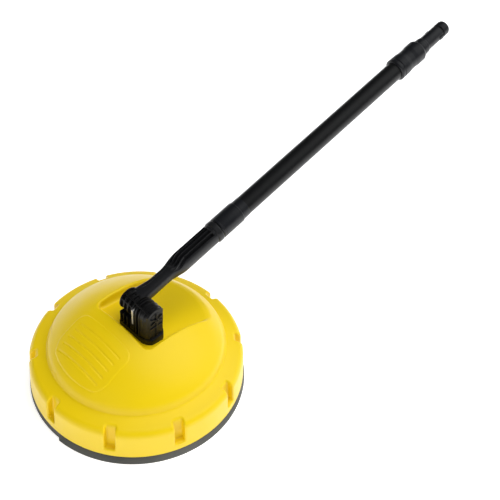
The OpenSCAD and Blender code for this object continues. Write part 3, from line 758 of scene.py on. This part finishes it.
def close_tree(tree, source, copies, out):
    """Ends a tree: the copies are made real and take the paint."""
    real, coat = tree.nodes.new("GeometryNodeRealizeInstances"), tree.nodes.new("GeometryNodeSetMaterial")
    tree.links.new(copies.outputs["Instances"], real.inputs["Geometry"])
    tree.links.new(real.outputs["Geometry"], coat.inputs["Geometry"])
    tree.links.new(source.outputs["Paint"], coat.inputs["Material"])
    tree.links.new(coat.outputs["Geometry"], out.inputs["Geometry"])


def open_tree(name, inputs):
    """Starts a tree with named inputs, and gives its two ends."""
    tree = bpy.data.node_groups.new(name, "GeometryNodeTree")
    tree.interface.new_socket("Geometry", in_out="OUTPUT", socket_type="NodeSocketGeometry")
    common = (("Geometry", "Geometry"), ("Paint", "Material"), ("Count", "Int"))
    for label, kind in common + inputs:
        tree.interface.new_socket(label, in_out="INPUT", socket_type="NodeSocket" + kind)
    return tree, tree.nodes.new("NodeGroupInput"), tree.nodes.new("NodeGroupOutput")


def ring_of_copies():
    """Copies a part round a circle, each turned to face outwards."""
    tree, source, out = open_tree("copies_in_a_ring", (("Radius", "Float"), ("Start turn", "Float")))
    add, link = tree.nodes.new, tree.links.new
    line = add("GeometryNodeMeshLine")
    link(source.outputs["Count"], line.inputs["Count"])
    line.inputs["Offset"].default_value = (0, 0, 0)
    index = add("GeometryNodeInputIndex")
    spot, facing = add("ShaderNodeCombineXYZ"), add("ShaderNodeCombineXYZ")
    copies, move = add("GeometryNodeInstanceOnPoints"), add("GeometryNodeSetPosition")
    share, turn = add("ShaderNodeMath"), add("ShaderNodeMath")
    share.operation, turn.operation = "DIVIDE", "MULTIPLY_ADD"
    link(index.outputs[0], share.inputs[0])
    link(source.outputs["Count"], share.inputs[1])
    link(share.outputs[0], turn.inputs[0])
    turn.inputs[1].default_value = 2 * math.pi
    link(source.outputs["Start turn"], turn.inputs[2])
    for operation, socket in (("COSINE", "X"), ("SINE", "Y")):
        wave, size = add("ShaderNodeMath"), add("ShaderNodeMath")
        wave.operation, size.operation = operation, "MULTIPLY"
        link(turn.outputs[0], wave.inputs[0])
        link(wave.outputs[0], size.inputs[0])
        link(source.outputs["Radius"], size.inputs[1])
        link(size.outputs[0], spot.inputs[socket])
    link(turn.outputs[0], facing.inputs["Z"])
    link(facing.outputs[0], copies.inputs["Rotation"])
    link(line.outputs["Mesh"], move.inputs["Geometry"])
    link(spot.outputs[0], move.inputs["Position"])
    link(move.outputs["Geometry"], copies.inputs["Points"])
    link(source.outputs["Geometry"], copies.inputs["Instance"])
    close_tree(tree, source, copies, out)
    return tree


def repeated(name, part, tree, values, paint, body, replaced=(), slot=None):
    """One part drawn at the pattern's origin and copied by a node tree, made one plain mesh."""
    seed = piece(name + "_one", *part, paint, body=None)
    modifier = seed.modifiers.new("copies", "NODES")
    modifier.node_group = tree
    sockets = {s.name: s.identifier for s in tree.interface.items_tree if s.in_out == "INPUT"}
    for label, value in dict(values, Paint=paint).items():
        modifier[sockets[label]] = value
    graph = bpy.context.evaluated_depsgraph_get()
    mesh = bpy.data.meshes.new_from_object(seed.evaluated_get(graph))
    bpy.data.objects.remove(seed)
    obj = bpy.data.objects.new(name, mesh)
    scene.collection.objects.link(obj)
    return dress(obj, body, replaced, slot)


SKIRT_BOSSES, SKIRT_BOSS_R, SKIRT_BOSS_TURN = 10, 128.5, math.radians(108)
boss = joined(
    lathe([(1.75, 16), (4, 16), (4, 40), (1.75, 40)], steps=28),
    block((8, 2.4, 18), 0.3, Matrix.Translation((6.6, 0, 31))),
)
repeated(
    "skirt_bosses", boss, ring_of_copies(),
    {"Count": SKIRT_BOSSES, "Radius": SKIRT_BOSS_R / 1000, "Start turn": SKIRT_BOSS_TURN},
    hood_yellow, "hood",
)
BOSS_BORE, BOSS_FOOT_Z, BOSS_HEAD_Z = 2.3, 89, 95.5
for boss_name, boss_r, places in (
    ("base_bosses", 5.5, [(-9, -10.5), (-9, 10.5), (25, -10.5), (25, 10.5)]),
    ("housing_bosses", 5, [(19.1, 19.1), (-19.1, 19.1), (-19.1, -19.1), (19.1, -19.1)]),
):
    bosses = []
    for x, y in places:
        head = BOSS_HEAD_Z - FLOOR_FALL * y
        outline = [(BOSS_BORE, BOSS_FOOT_Z), (boss_r, BOSS_FOOT_Z), (boss_r, head), (BOSS_BORE, head)]
        bosses.append(lathe(outline, Matrix.Translation((x, y, 0)), 28))
    piece(boss_name, *joined(*bosses), hood_yellow, "hood")

# ---- brush ----------------------------------------------------------------------------------
# Nylon bristles stand in a moulded carrier ring under the skirt and splay a little on the floor.
# The strip's two ends meet at the front left, where one stands a little further in.
BRUSH_JOINT, BRUSH_WIDE_SIDE = math.radians(-83), math.radians(-60)
BRISTLE_ROOT_Z, BRISTLE_LONG, BRISTLE_R = 12.5, 12.1, 0.42
bristle_grey = finish("bristles", (0.080, 0.083, 0.076), 0.62, 0.3, mottle=0.35)


def bristle_ring():
    """Bristles round the carrier, leaning out with their depth in the strip, less on one side."""
    tree, source, out = open_tree("bristles_in_a_ring", (
        ("Root radius", "Float"), ("Root spread", "Float"), ("Splay", "Float"), ("Side lean", "Float"),
        ("Joint turn", "Float"), ("Seed", "Int"),
    ))
    add, link = tree.nodes.new, tree.links.new

    def sums(operation, *values):
        node = add("ShaderNodeMath")
        node.operation = operation
        for i, value in enumerate(values):
            if isinstance(value, (int, float)):
                node.inputs[i].default_value = value
            else:
                link(value, node.inputs[i])
        return node.outputs[0]

    def chance(low, high, seed):
        node = add("FunctionNodeRandomValue")
        node.data_type = "FLOAT"
        node.inputs[2].default_value = low
        node.inputs[3].default_value = high
        link(sums("ADD", source.outputs["Seed"], seed), node.inputs["Seed"])
        return node.outputs[1]

    line = add("GeometryNodeMeshLine")
    line.inputs["Offset"].default_value = (0, 0, 0)
    link(source.outputs["Count"], line.inputs["Count"])
    index = add("GeometryNodeInputIndex")
    step = sums("DIVIDE", 2 * math.pi, source.outputs["Count"])
    turn = sums("MULTIPLY", sums("ADD", index.outputs[0], chance(-0.45, 0.45, 1)), step)
    turn = sums("ADD", turn, source.outputs["Joint turn"])
    share = sums("DIVIDE", index.outputs[0], source.outputs["Count"])
    drift = sums("MULTIPLY", sums("POWER", share, 3), -0.18)
    depth = chance(0, 1, 2)
    root = sums("MULTIPLY_ADD", depth, source.outputs["Root spread"], source.outputs["Root radius"])
    spot = add("ShaderNodeCombineXYZ")
    link(sums("MULTIPLY", sums("COSINE", turn), root), spot.inputs["X"])
    link(sums("MULTIPLY", sums("SINE", turn), root), spot.inputs["Y"])
    spot.inputs["Z"].default_value = BRISTLE_ROOT_Z / 1000
    move, copies, lean = (add("GeometryNodeSetPosition"), add("GeometryNodeInstanceOnPoints"),
                          add("ShaderNodeCombineXYZ"))
    link(line.outputs["Mesh"], move.inputs["Geometry"])
    link(spot.outputs[0], move.inputs["Position"])
    link(move.outputs["Geometry"], copies.inputs["Points"])
    link(source.outputs["Geometry"], copies.inputs["Instance"])
    link(chance(-0.06, 0.06, 3), lean.inputs["X"])
    splay = sums("MULTIPLY_ADD", depth, source.outputs["Splay"], chance(-0.04, 0.012, 4))
    side = sums("COSINE", sums("SUBTRACT", turn, BRUSH_WIDE_SIDE))
    side = sums("MULTIPLY", side, source.outputs["Side lean"])
    side = sums("MULTIPLY", sums("ADD", side, drift), depth)
    lean_turn = sums("MULTIPLY", sums("ADD", splay, side), -1)
    link(lean_turn, lean.inputs["Y"])
    link(turn, lean.inputs["Z"])
    link(lean.outputs[0], copies.inputs["Rotation"])
    stretch = add("ShaderNodeCombineXYZ")
    stretch.inputs["X"].default_value = stretch.inputs["Y"].default_value = 1
    link(sums("DIVIDE", 1, sums("COSINE", lean_turn)), stretch.inputs["Z"])
    link(stretch.outputs[0], copies.inputs["Scale"])
    close_tree(tree, source, copies, out)
    return tree


one_bristle = loft([
    [(BRISTLE_R * math.cos(a), BRISTLE_R * math.sin(a), z) for a in (0.8, 2.4, 3.9, 5.5)]
    for z in (0, -6, -BRISTLE_LONG)
])
repeated(
    "bristles", one_bristle, bristle_ring(),
    {"Count": 5200, "Root radius": 0.1336, "Root spread": 0.0036, "Splay": 0.50, "Side lean": 0.075,
     "Joint turn": BRUSH_JOINT, "Seed": 5},
    bristle_grey, "hood", ["bristle_ring"], "bristles",
)
# The strip's dense core, from its root to the floor: it follows the bristles' lean on each side.
CORE_R, CORE_FREE_R, CORE_ROOT_Z, CORE_SIDE, CORE_STEP = 145, 137.5, 12, 1.25, 3.0
brush_core = [(133.4, 14), (133, 10.5), (132.2, 0.15), (146.5, 0.15), (142.5, 8.2), (137, 11.4), (136.6, 14)]
core_points, core_faces = lathe(brush_core, steps=240)
core_turn = np.arctan2(core_points[:, 1], core_points[:, 0])
core_round = (core_turn - BRUSH_JOINT) % (2 * math.pi) / (2 * math.pi)
core_drift = CORE_SIDE * (np.cos(core_turn - BRUSH_WIDE_SIDE) - 1) - CORE_STEP * core_round**3
core_free = np.clip((CORE_ROOT_Z - core_points[:, 2]) / CORE_ROOT_Z, 0, 1)
core_free *= np.hypot(*core_points[:, :2].T) > CORE_FREE_R
core_points[:, :2] *= (1 + core_drift * core_free / CORE_R)[:, None]
piece("bristle_core", core_points, core_faces, bristle_grey, "hood")

# ---- brush carrier --------------------------------------------------------------------------
# A black polypropylene ring that grips the bristles in a groove; ten screws hold it up against
# the bosses inside the skirt.
carrier_black = finish("black_carrier", (0.035, 0.036, 0.038), 0.5, 0.15)
carrier = rounded([
    (124, 13.2, 0.3), (130, 13.2, 0.3), (130, 11, 0.3), (133, 11, 0.4), (133, 14, 0), (137, 14, 0),
    (137, 11, 0.4), (138.8, 11, 0.3), (138.8, 16, 0.3), (124, 16, 0.3),
])
piece("carrier_ring", *lathe(carrier, steps=180), carrier_black, "hood", ["brush_carrier"], "carrier_plastic")

# ---- joint base -----------------------------------------------------------------------------
# The fixed half of the lance joint, glass-filled nylon: a plinth on the recess floor, four ribbed
# cheeks that cradle the drum, and a spigot through the floor. Four screws hold it from below.
PIVOT_Z, CRADLE_R, CHEEK_TOP = 136.5, 15.6, 123.4
PLINTH_HALF, PLINTH_LOW, PLINTH_HIGH = 16.7, 93.4, 107
NOSE_X = 27  # middle of the plinth's and the block's round nose
joint_black = finish("black_joint", (0.006, 0.006, 0.006), 0.42, 0.35, mottle=0.12, specular=0.3)
ACROSS = Matrix(((0, 0, 1, 0), (1, 0, 0, 0), (0, 1, 0, 0), (0, 0, 0, 1)))  # local XY to world YZ
cradle_half = math.acos((PIVOT_Z - CHEEK_TOP) / CRADLE_R)
cradle_turns = np.linspace(cradle_half, -cradle_half, 19)
cradle = [(CRADLE_R * math.sin(a), PIVOT_Z - CRADLE_R * math.cos(a)) for a in cradle_turns]


def cheek(half):
    top = [(half, CHEEK_TOP, 0.8), (half - 2.2, CHEEK_TOP, 0)]
    right = rounded([(0, 95, 0), (half, 95, 0)] + top)[1:-1]
    return right + cradle + [(-y, z) for y, z in reversed(right)]


cheek_parts = [
    plate(cheek(15.9), x, x + thick, 0.4, ACROSS)
    for x, thick in ((-13.2, 2.4), (-7.2, 2.1), (0.1, 2.1), (7.4, 2.1))
]
core_plan = rounded([(-12.8, 95, 0), (12.8, 95, 0), (12.8, 119.5, 1), (-12.8, 119.5, 1)])
cheek_parts.append(plate(core_plan, -12.4, 9, 0.4, ACROSS))


def nose_plan(left, half, last, steps=18):
    """Straight sides and a round end cut off flat, in plan."""
    last = math.radians(last)
    turns = np.linspace(-math.pi / 2, -last, steps)
    arc = [(NOSE_X + half * math.cos(a), half * math.sin(a)) for a in turns]
    arc += [(x, -y) for x, y in reversed(arc)]
    return [(left, -half)] + arc + [(left, half)]


plinth = plate(nose_plan(-13.4, PLINTH_HALF, 32), PLINTH_LOW, PLINTH_HIGH, 0.8)
spigot = lathe(rounded([(3, 89, 0), (12, 89, 0.6), (12, 99, 0), (3, 99, 0)]))
piece("base", *joined(plinth, spigot, *cheek_parts), joint_black, "hood", ["joint_base"], "black_plastic")

# ---- ribbed block ---------------------------------------------------------------------------
# The housing that holds the trunnion: a core with upright ribs over an arched top, moulded in one
# with a rounded end. The foremost ribs leave a slot for the steel clip.
ARCH_Z, NOSE_LONG, NOSE_HALF = 138.5, 16, 15.2  # springing of the arched top; the round nose


def arch(x, radius, bottom, steps=24):
    """The block's section at x: upright sides, narrowed where the end is rounded, and an arched top."""
    half = radius * math.sqrt(max(0.05, 1 - max(0, (x - NOSE_X) / NOSE_LONG) ** 2))
    first = math.acos(min(1.0, half / radius))
    turns = np.linspace(first, math.pi - first, steps)
    arc = [(radius * math.cos(a), ARCH_Z + radius * math.sin(a)) for a in turns]
    return [(half, bottom)] + arc + [(-half, bottom)]


def arch_plate(low, high, radius, bottom, edge, rows=1):
    xs = [(low, edge), (low + 0.3 * edge, 0.3 * edge), (low + edge, 0)]
    xs += [(x, 0) for x in np.linspace(low + edge, high - edge, rows + 1)[1:]]
    xs += [(high - 0.3 * edge, 0.3 * edge), (high, edge)]
    sections = []
    for x, inset in xs:
        line = drawn_in(arch(x, radius, bottom), inset)
        sections.append(np.column_stack([np.full(len(line), x), line]))
    return loft(sections)


arches = [arch_plate(9.9, 36.6, 11.9, 104, 0.4, rows=14)]
arches += [arch_plate(x, x + 2.2, 16, low, 0.5) for x, low in ((16.3, 105), (22.7, 105), (29.6, 128))]
arches += [arch_plate(10.2, 11.2, 16, 105, 0.2), arch_plate(13.6, 14.6, 16, 105, 0.3)]
arches += [arch_plate(35.6, 38, 16, 124, 0.8, rows=5)]
arches.append(plate(nose_plan(9.9, 16, 38), 105.4, 108, 0.5))
nose_rows = []
for z in [104, 120, 134, ARCH_Z] + [ARCH_Z + NOSE_HALF * math.sin(a) for a in np.linspace(0.1, 1.32, 14)]:
    narrow = math.sqrt(max(0.0, 1 - max(0.0, (z - ARCH_Z) / NOSE_HALF) ** 2))
    nose_rows.append([(x, y * narrow, z) for x, y in nose_plan(24, NOSE_HALF, 44)])
arches.append(loft(nose_rows))
beam_place = Matrix.Translation((23.2, -8.2, 150.2)) @ Matrix.Rotation(math.radians(34), 4, "X")
top_beam = block((26, 1.8, 4), 0.5, beam_place)
slot_fill = block((2.0, 3.2, 9), 0.3, Matrix.Translation((12.4, -14.2, 113.5)))
piece("ribbed_block", *joined(*arches, top_beam, slot_fill), joint_black, "hood", ["joint_block"],
      "black_plastic")

# ---- end cap --------------------------------------------------------------------------------
# A nylon cover over the block's round end, with six bars in a star about a drilled hub and two
# straight bars below; it is pressed in and stays put.
CAP_HALF, CAP_FOOT, STAR_BARS = 11, 108, 6
cap_turns = np.linspace(0.05, math.pi - 0.05, 28)
cap_foot = [(CAP_HALF, CAP_FOOT, 1.5), (CAP_HALF, 138, 0)]
cap_plan = rounded([(0, CAP_FOOT, 0)] + cap_foot)[1:]
cap_plan += [(CAP_HALF * math.cos(a), ARCH_Z + CAP_HALF * math.sin(a)) for a in cap_turns]
cap_plan += rounded([(-y, z, r) for y, z, r in cap_foot[::-1]] + [(0, CAP_FOOT, 0)])[:-1]
HUB = Matrix.Translation((0, 0, ARCH_Z)) @ Matrix.Rotation(math.radians(90), 4, "Y")
cap_parts = [
    plate(cap_plan, 37.6, 38.6, 0.3, ACROSS),
    lathe(rounded([(1.4, 38.6, 0), (3, 38.6, 0), (3, 41.2, 0.5), (1.4, 41.2, 0.3)]), HUB, 36),
]
for bar in range(STAR_BARS):
    bar_turn = Matrix.Rotation(2 * math.pi * bar / STAR_BARS, 4, "X")
    bar_place = Matrix.Translation((39.8, 0, ARCH_Z)) @ bar_turn @ Matrix.Translation((0, 0, 6.2))
    cap_parts.append(block((1.6, 1.7, 8), 0.35, bar_place))
cap_parts.append(block((1.4, 1.5, 21), 0.35, Matrix.Translation((39.1, 0, 118))))
cap_parts.append(block((1.6, 19, 1.4), 0.35, Matrix.Translation((39.2, 0, 127))))
piece("block_cap", *joined(*cap_parts), joint_black, "hood", ["block_end_cap"], "black_plastic")

# ---- retaining clip -------------------------------------------------------------------------
# Stainless, stamped from sheet and sprung into the block's slot: its two legs straddle the
# trunnion's groove, and its upright bar shows at the front.
CLIP_LOW_X, CLIP_HIGH_X = 11.35, 13.45
spring_steel = finish("spring_steel", (0.82, 0.79, 0.72), 0.3, 0.05, mottle=0.03, metallic=0.55)
clip = rounded([
    (-16.6, 120.5, 0.7), (-14.4, 120.5, 0.7), (-14.4, 127.9, 0.5), (9.4, 127.9, 0.7), (9.4, 130.1, 0.7),
    (-14.4, 130.1, 0.5), (-14.4, 142.9, 0.5), (9.4, 142.9, 0.7), (9.4, 145.1, 0.7), (-16.6, 145.1, 0.9),
])
piece("clip", *plate(clip, CLIP_LOW_X, CLIP_HIGH_X, 0.25, ACROSS), spring_steel, "hood",
      ["retaining_clip"], "spring_steel")

# ---- swivel drum ----------------------------------------------------------------------------
# The moving half of the joint: a drum with four fins and cross ribs, pressed on the trunnion and
# closed at the left by a plain cap. The lance's arm is welded into its back.
PIVOT = Matrix.Translation((0, 0, PIVOT_Z)) @ Matrix.Rotation(math.radians(90), 4, "Y")
FINS, FIN_STEP, FIN_THICK, FIN_R, DRUM_R = 4, 7.3, 2.1, 15, 11.4
DRUM_LEFT, DRUM_RIGHT, DRUM_BORE = -14.5, 9.5, 8.05
drum = [(6, DRUM_LEFT, 0), (8.5, DRUM_LEFT, 0)]
for fin in range(FINS):
    fin_x = DRUM_LEFT + FIN_STEP * fin
    drum += [(FIN_R, fin_x, 0.6), (FIN_R, fin_x + FIN_THICK, 0.6)]
    if fin < FINS - 1:
        drum += [(DRUM_R, fin_x + 2.3, 0.5), (DRUM_R, fin_x + 7.1, 0.5)]
drum += [(DRUM_BORE, DRUM_RIGHT, 0), (DRUM_BORE, -7, 0), (6, -7, 0)]
drum_parts = [lathe(rounded(drum, 3), PIVOT, 96)]
for rib_turn in (60, 120, 180, 240, 25):
    rib_place = Matrix.Translation((-2.5, 0, PIVOT_Z)) @ Matrix.Rotation(math.radians(rib_turn), 4, "X")
    drum_parts.append(block((23.4, 1.8, 6), 0.5, rib_place @ Matrix.Translation((0, 0, DRUM_R))))
piece("drum", *joined(*drum_parts), joint_black, "lance", ["swivel_drum"], "black_plastic")
cap_line = rounded([
    (0, -15.7, 0), (8, -15.7, 0.5), (8, -14.45, 0.1), (6, -14.45, 0), (6, -8, 0.3), (0, -8, 0),
])
piece("drum_end", *lathe(cap_line, PIVOT, 64), joint_black, "lance", ["drum_cap"], "black_plastic")

# ---- lance arm ------------------------------------------------------------------------------
# One moulding: it leaves the drum nearly as wide as the drum, narrows to a square arm, swells at
# the shoulder into a round part cored by four long grooves on top, and ends in a ring and spigot.
LANCE_FOOT_Z, LANCE_TILT = 139.1, math.radians(-74)
LANCE = Matrix.Translation((0, 0, LANCE_FOOT_Z)) @ Matrix.Rotation(LANCE_TILT, 4, "X")
ARM_HALF, ARM_TALL, ARM_FLARE, SHOULDER_MORE = 9.1, 8.6, 5.0, 4.4
GROOVE_MIDDLES, GROOVE_FLOOR, CHANNEL_DEEP = (-0.62, -0.22, 0.18, 0.58), 5.4, 1.5
arm_black = finish("black_arm", (0.0105, 0.011, 0.012), 0.34, 0.25, mottle=0.1, specular=0.38)


def eased(t, low, high):
    return float(smooth_step(np.array(float(t)), low, high))


def oval(share, tall, power):
    return tall * (1 - np.abs(share) ** power) ** (1 / power)


def arm_section(t):
    """A rounded-square section at t along the lance; its upper side is cored by long grooves."""
    wide = eased(t, 50, 80)
    half, tall = ARM_HALF + SHOULDER_MORE * wide, ARM_TALL + 4.9 * wide
    flare = ARM_FLARE * (1 - eased(t, 9, 40)) ** 1.6
    power = 2.9 - 0.7 * eased(t, 54, 84)
    across = np.concatenate([[-1, -0.994, -0.98], np.linspace(-0.96, 0.96, 65), [0.98, 0.994, 1]])
    top = oval(across, tall, power)
    cut = np.zeros_like(across)
    sweep = 0.42 * (1 - eased(t, 55, 84))
    for middle in GROOVE_MIDDLES:
        cut = np.maximum(cut, smooth_step(-np.abs(across - middle - sweep), -0.16, -0.10))
    cored = eased(t, 57, 70) * (1 - eased(t, 129.6, 131.4))
    top = top - cored * cut * np.maximum(0, top - GROOVE_FLOOR)
    channel = eased(t, 14, 24) * (1 - eased(t, 60, 74)) * CHANNEL_DEEP
    top = top - channel * smooth_step(-np.abs(across + 0.46), -0.27, -0.12)
    under = np.cos(np.linspace(0, math.pi, 25)[1:-1])
    rows = []
    for share, height in ((across, -top), (under, oval(under, tall, power))):
        left = np.where(share < 0, flare, 0.0) * np.abs(share) ** 0.5
        rows.append(np.column_stack([share * half - left, height, np.full(len(share), t)]))
    return np.vstack(rows)


arm_ts = list(np.linspace(6, 52, 24)) + list(np.linspace(53, 84, 32)) + list(np.linspace(86, 127, 12))
arm_ts += [128.5, 129.6, 130.0, 130.4, 130.8, 131.2, 131.6, 133, 135.6]
arm_body = loft([arm_section(t) for t in arm_ts], LANCE)
arm_ring = lathe(rounded([
    (9, 134.4, 0), (14.4, 134.4, 0.5), (15.15, 136, 0.7), (15.15, 141.6, 0.6), (14.5, 143.2, 0.5),
    (9, 143.2, 0),
]), LANCE, 96)
arm_spigot = lathe(rounded([
    (3, 134, 0), (9, 134, 0), (9, 162, 0), (7.2, 162, 0), (7.2, 165, 0), (9, 165, 0), (9, 174, 0.8),
    (3, 174, 0),
]), LANCE, 64)
piece("arm", *joined(arm_body, arm_ring, arm_spigot), arm_black, "lance", ["lance_arm"], "black_plastic",
      sharp=math.radians(50))

# ---- sleeve ---------------------------------------------------------------------------------
# The extension's moulded foot, in black nylon: it slides over the arm's spigot, locks with a
# quarter turn, and steps down to the tube that is pressed into it.
SLEEVE_R, SLEEVE_T = 14.95, 144
TUBE_R, TUBE_BORE, TUBE_FOOT_T, TUBE_TOP_T = 13.5, 11.5, 178, 525
sleeve_black = finish("black_sleeve", (0.007, 0.0078, 0.0095), 0.36, 0.25, mottle=0.08, specular=0.42)
sleeve = rounded([
    (9.05, SLEEVE_T, 0), (14.3, SLEEVE_T, 0.5), (SLEEVE_R, 145.2, 0.5), (SLEEVE_R, 147.4, 0.15),
    (14.7, 147.6, 0.15), (14.7, 148.2, 0.15), (SLEEVE_R, 148.4, 0.15), (SLEEVE_R, 179.6, 0.8),
    (13.9, 180.4, 0.3), (13.75, 191.6, 0.1), (13.6, 192, 0.1), (TUBE_R, 192, 0), (TUBE_R, TUBE_FOOT_T, 0),
    (6, TUBE_FOOT_T, 0), (6, 175, 0), (9.05, 175, 0),
])
piece("sleeve", *lathe(sleeve, LANCE, 96), sleeve_black, "extension", ["extension_sleeve"], "black_plastic")

# ---- tube -----------------------------------------------------------------------------------
# A drawn tube of satin black plastic, a hand's grip thick, glued into the sleeve and the collar;
# the pressure pipe runs inside it.
tube_black = finish("black_tube", (0.006, 0.0064, 0.0066), 0.32, 0.12, mottle=0.06, specular=0.32)
tube_skin = [(TUBE_R - 0.02, t) for t in np.linspace(TUBE_FOOT_T, TUBE_TOP_T, 40)]
tube_line = [(TUBE_BORE, TUBE_FOOT_T)] + tube_skin + [(TUBE_BORE, TUBE_TOP_T)]
piece("tube", *lathe(tube_line, LANCE, 96), tube_black, "extension", ["extension_tube"], "tube_plastic")

# ---- collar ---------------------------------------------------------------------------------
# Two-stage moulded grip at the tube's top end, in the sleeve's nylon: a beaded ring, a waist and
# a wider head that the plug screws into.
NECK_R, NECK_T, NECK_TOP_T = 11.6, 529, 557
collar = rounded([
    (TUBE_R, 503, 0), (15.0, 503, 0.5), (16.6, 504.6, 0.9), (16.6, 508.6, 0.7), (15.7, 509, 0.2),
    (15.7, 510.4, 0.2), (16.5, 510.8, 0.5), (16.3, 521, 4), (15.4, 527, 4), (15.3, 535, 3), (16.1, 541, 4),
    (16.1, 553.4, 1.6), (14.5, 556.8, 1.2), (NECK_R, NECK_TOP_T, 0), (NECK_R, NECK_T, 0),
    (TUBE_R, TUBE_TOP_T, 0),
], 5)
piece("collar", *lathe(collar, LANCE, 96), sleeve_black, "extension", ["upper_collar"], "black_plastic")

# ---- bayonet plug ---------------------------------------------------------------------------
# The nylon plug that goes into the washer's gun: a shouldered barrel, a groove for its seal and a
# rounded nose, bored for the pressure pipe. Two lugs on it, one further up, lock it.
PLUG_BORE, PLUG_R, PLUG_NOSE_R, GROOVE_R, GROOVE_LOW_T, GROOVE_HIGH_T = 3, 10.7, 10.9, 8, 602.2, 604.8
plug = rounded([
    (6, NECK_T, 0), (NECK_R, NECK_T, 0), (NECK_R, NECK_TOP_T, 0), (12.9, NECK_TOP_T, 0.3), (12.5, 563, 2),
    (12.0, 568.5, 0.8), (11.0, 570, 0.6), (10.8, 576, 3), (PLUG_R, GROOVE_LOW_T, 0.4),
    (GROOVE_R, GROOVE_LOW_T, 0), (GROOVE_R, GROOVE_HIGH_T, 0), (PLUG_NOSE_R, GROOVE_HIGH_T, 0.4),
    (PLUG_NOSE_R, 613.4, 1.4), (10.1, 616.2, 1.2), (7.9, 618, 0.8), (PLUG_BORE, 618, 0.5),
    (PLUG_BORE, 584, 0), (6, 584, 0),
], 5)
piece("plug", *lathe(plug, LANCE, 96), sleeve_black, "extension", ["bayonet_plug"], "black_plastic")
LUG_FOOT, LUG_REACH, LUG_LONG, LUG_HALF = 8, 12, 7.6, 2.8
lugs = []
for lug_turn, lug_t in ((0, 594), (math.pi, 586.5)):
    lug_ends = [(LUG_FOOT, lug_t, 0.2), (LUG_REACH, lug_t, 1.1)]
    lug_ends += [(r, lug_t + LUG_LONG, edge) for r, _, edge in lug_ends[::-1]]
    lug_place = LANCE @ Matrix.Rotation(lug_turn, 4, "Z") @ Matrix.Rotation(math.radians(90), 4, "X")
    lugs.append(plate(rounded(lug_ends), -LUG_HALF, LUG_HALF, 0.5, lug_place))
piece("lugs", *joined(*lugs), sleeve_black, "extension", ["bayonet_lugs"], "black_plastic")

# ---- plug seal ------------------------------------------------------------------------------
# A black rubber O-ring, stretched over the plug's nose into its groove.
SEAL_R, SEAL_T, SEAL_HALF_R, SEAL_HALF_T = 8.95, 603.5, 0.98, 1.1
seal_rubber = finish("seal_rubber", (0.01, 0.01, 0.01), 0.7, 0.1)
seal_turns = np.linspace(0, 2 * math.pi, 20)[:-1]
seal_line = [(SEAL_R + SEAL_HALF_R * math.cos(a), SEAL_T + SEAL_HALF_T * math.sin(a)) for a in seal_turns]
piece("seal", *lathe(seal_line, LANCE, 72), seal_rubber, "extension", ["plug_seal"], "seal_rubber")

# ---- works inside ---------------------------------------------------------------------------
# Parts that stay as drawn, inside or under the hood: cast housing, turned brass, bearings, the
# stainless shaft and spray arms, nylon hub and elbows, and the rubber seals.
cast_alloy = finish("cast_alloy", (0.42, 0.43, 0.44), 0.45, 0.4, mottle=0.08, metallic=1.0)
brass = finish("turned_brass", (0.72, 0.52, 0.22), 0.28, 0.08, mottle=0.04, metallic=1.0)
bearing_steel = finish("bearing_steel", (0.55, 0.56, 0.57), 0.2, 0.04, mottle=0.03, metallic=1.0)
stainless = finish("stainless", (0.62, 0.62, 0.61), 0.26, 0.06, mottle=0.04, metallic=1.0)
zinc = finish("zinc_screws", (0.60, 0.61, 0.62), 0.33, 0.1, mottle=0.05, metallic=1.0)
hub_nylon = finish("black_nylon", (0.02, 0.021, 0.022), 0.45, 0.3)
CARRIED = (
    (cast_alloy, "bearing_housing"),
    (brass, "feed_pipe", "trunnion", "nozzle_left", "nozzle_right"),
    (bearing_steel, "upper_bearing", "lower_bearing", "bearing_spacer"),
    (stainless, "rotor_shaft", "spray_arm_left", "spray_arm_right", "pressure_pipe", "hub_nut"),
    (spring_steel, "housing_circlip", "shaft_circlip"),
    (zinc, "carrier_screws", "base_screws", "housing_screws"),
    (hub_nylon, "rotor_hub", "nozzle_elbow_left", "nozzle_elbow_right", "pipe_supports"),
    (seal_rubber, "shaft_seal", "trunnion_seals", "coupling_seal"),
)
for paint, *names in CARRIED:
    for name in names:
        nodes[name].data.materials.clear()
        nodes[name].data.materials.append(paint)
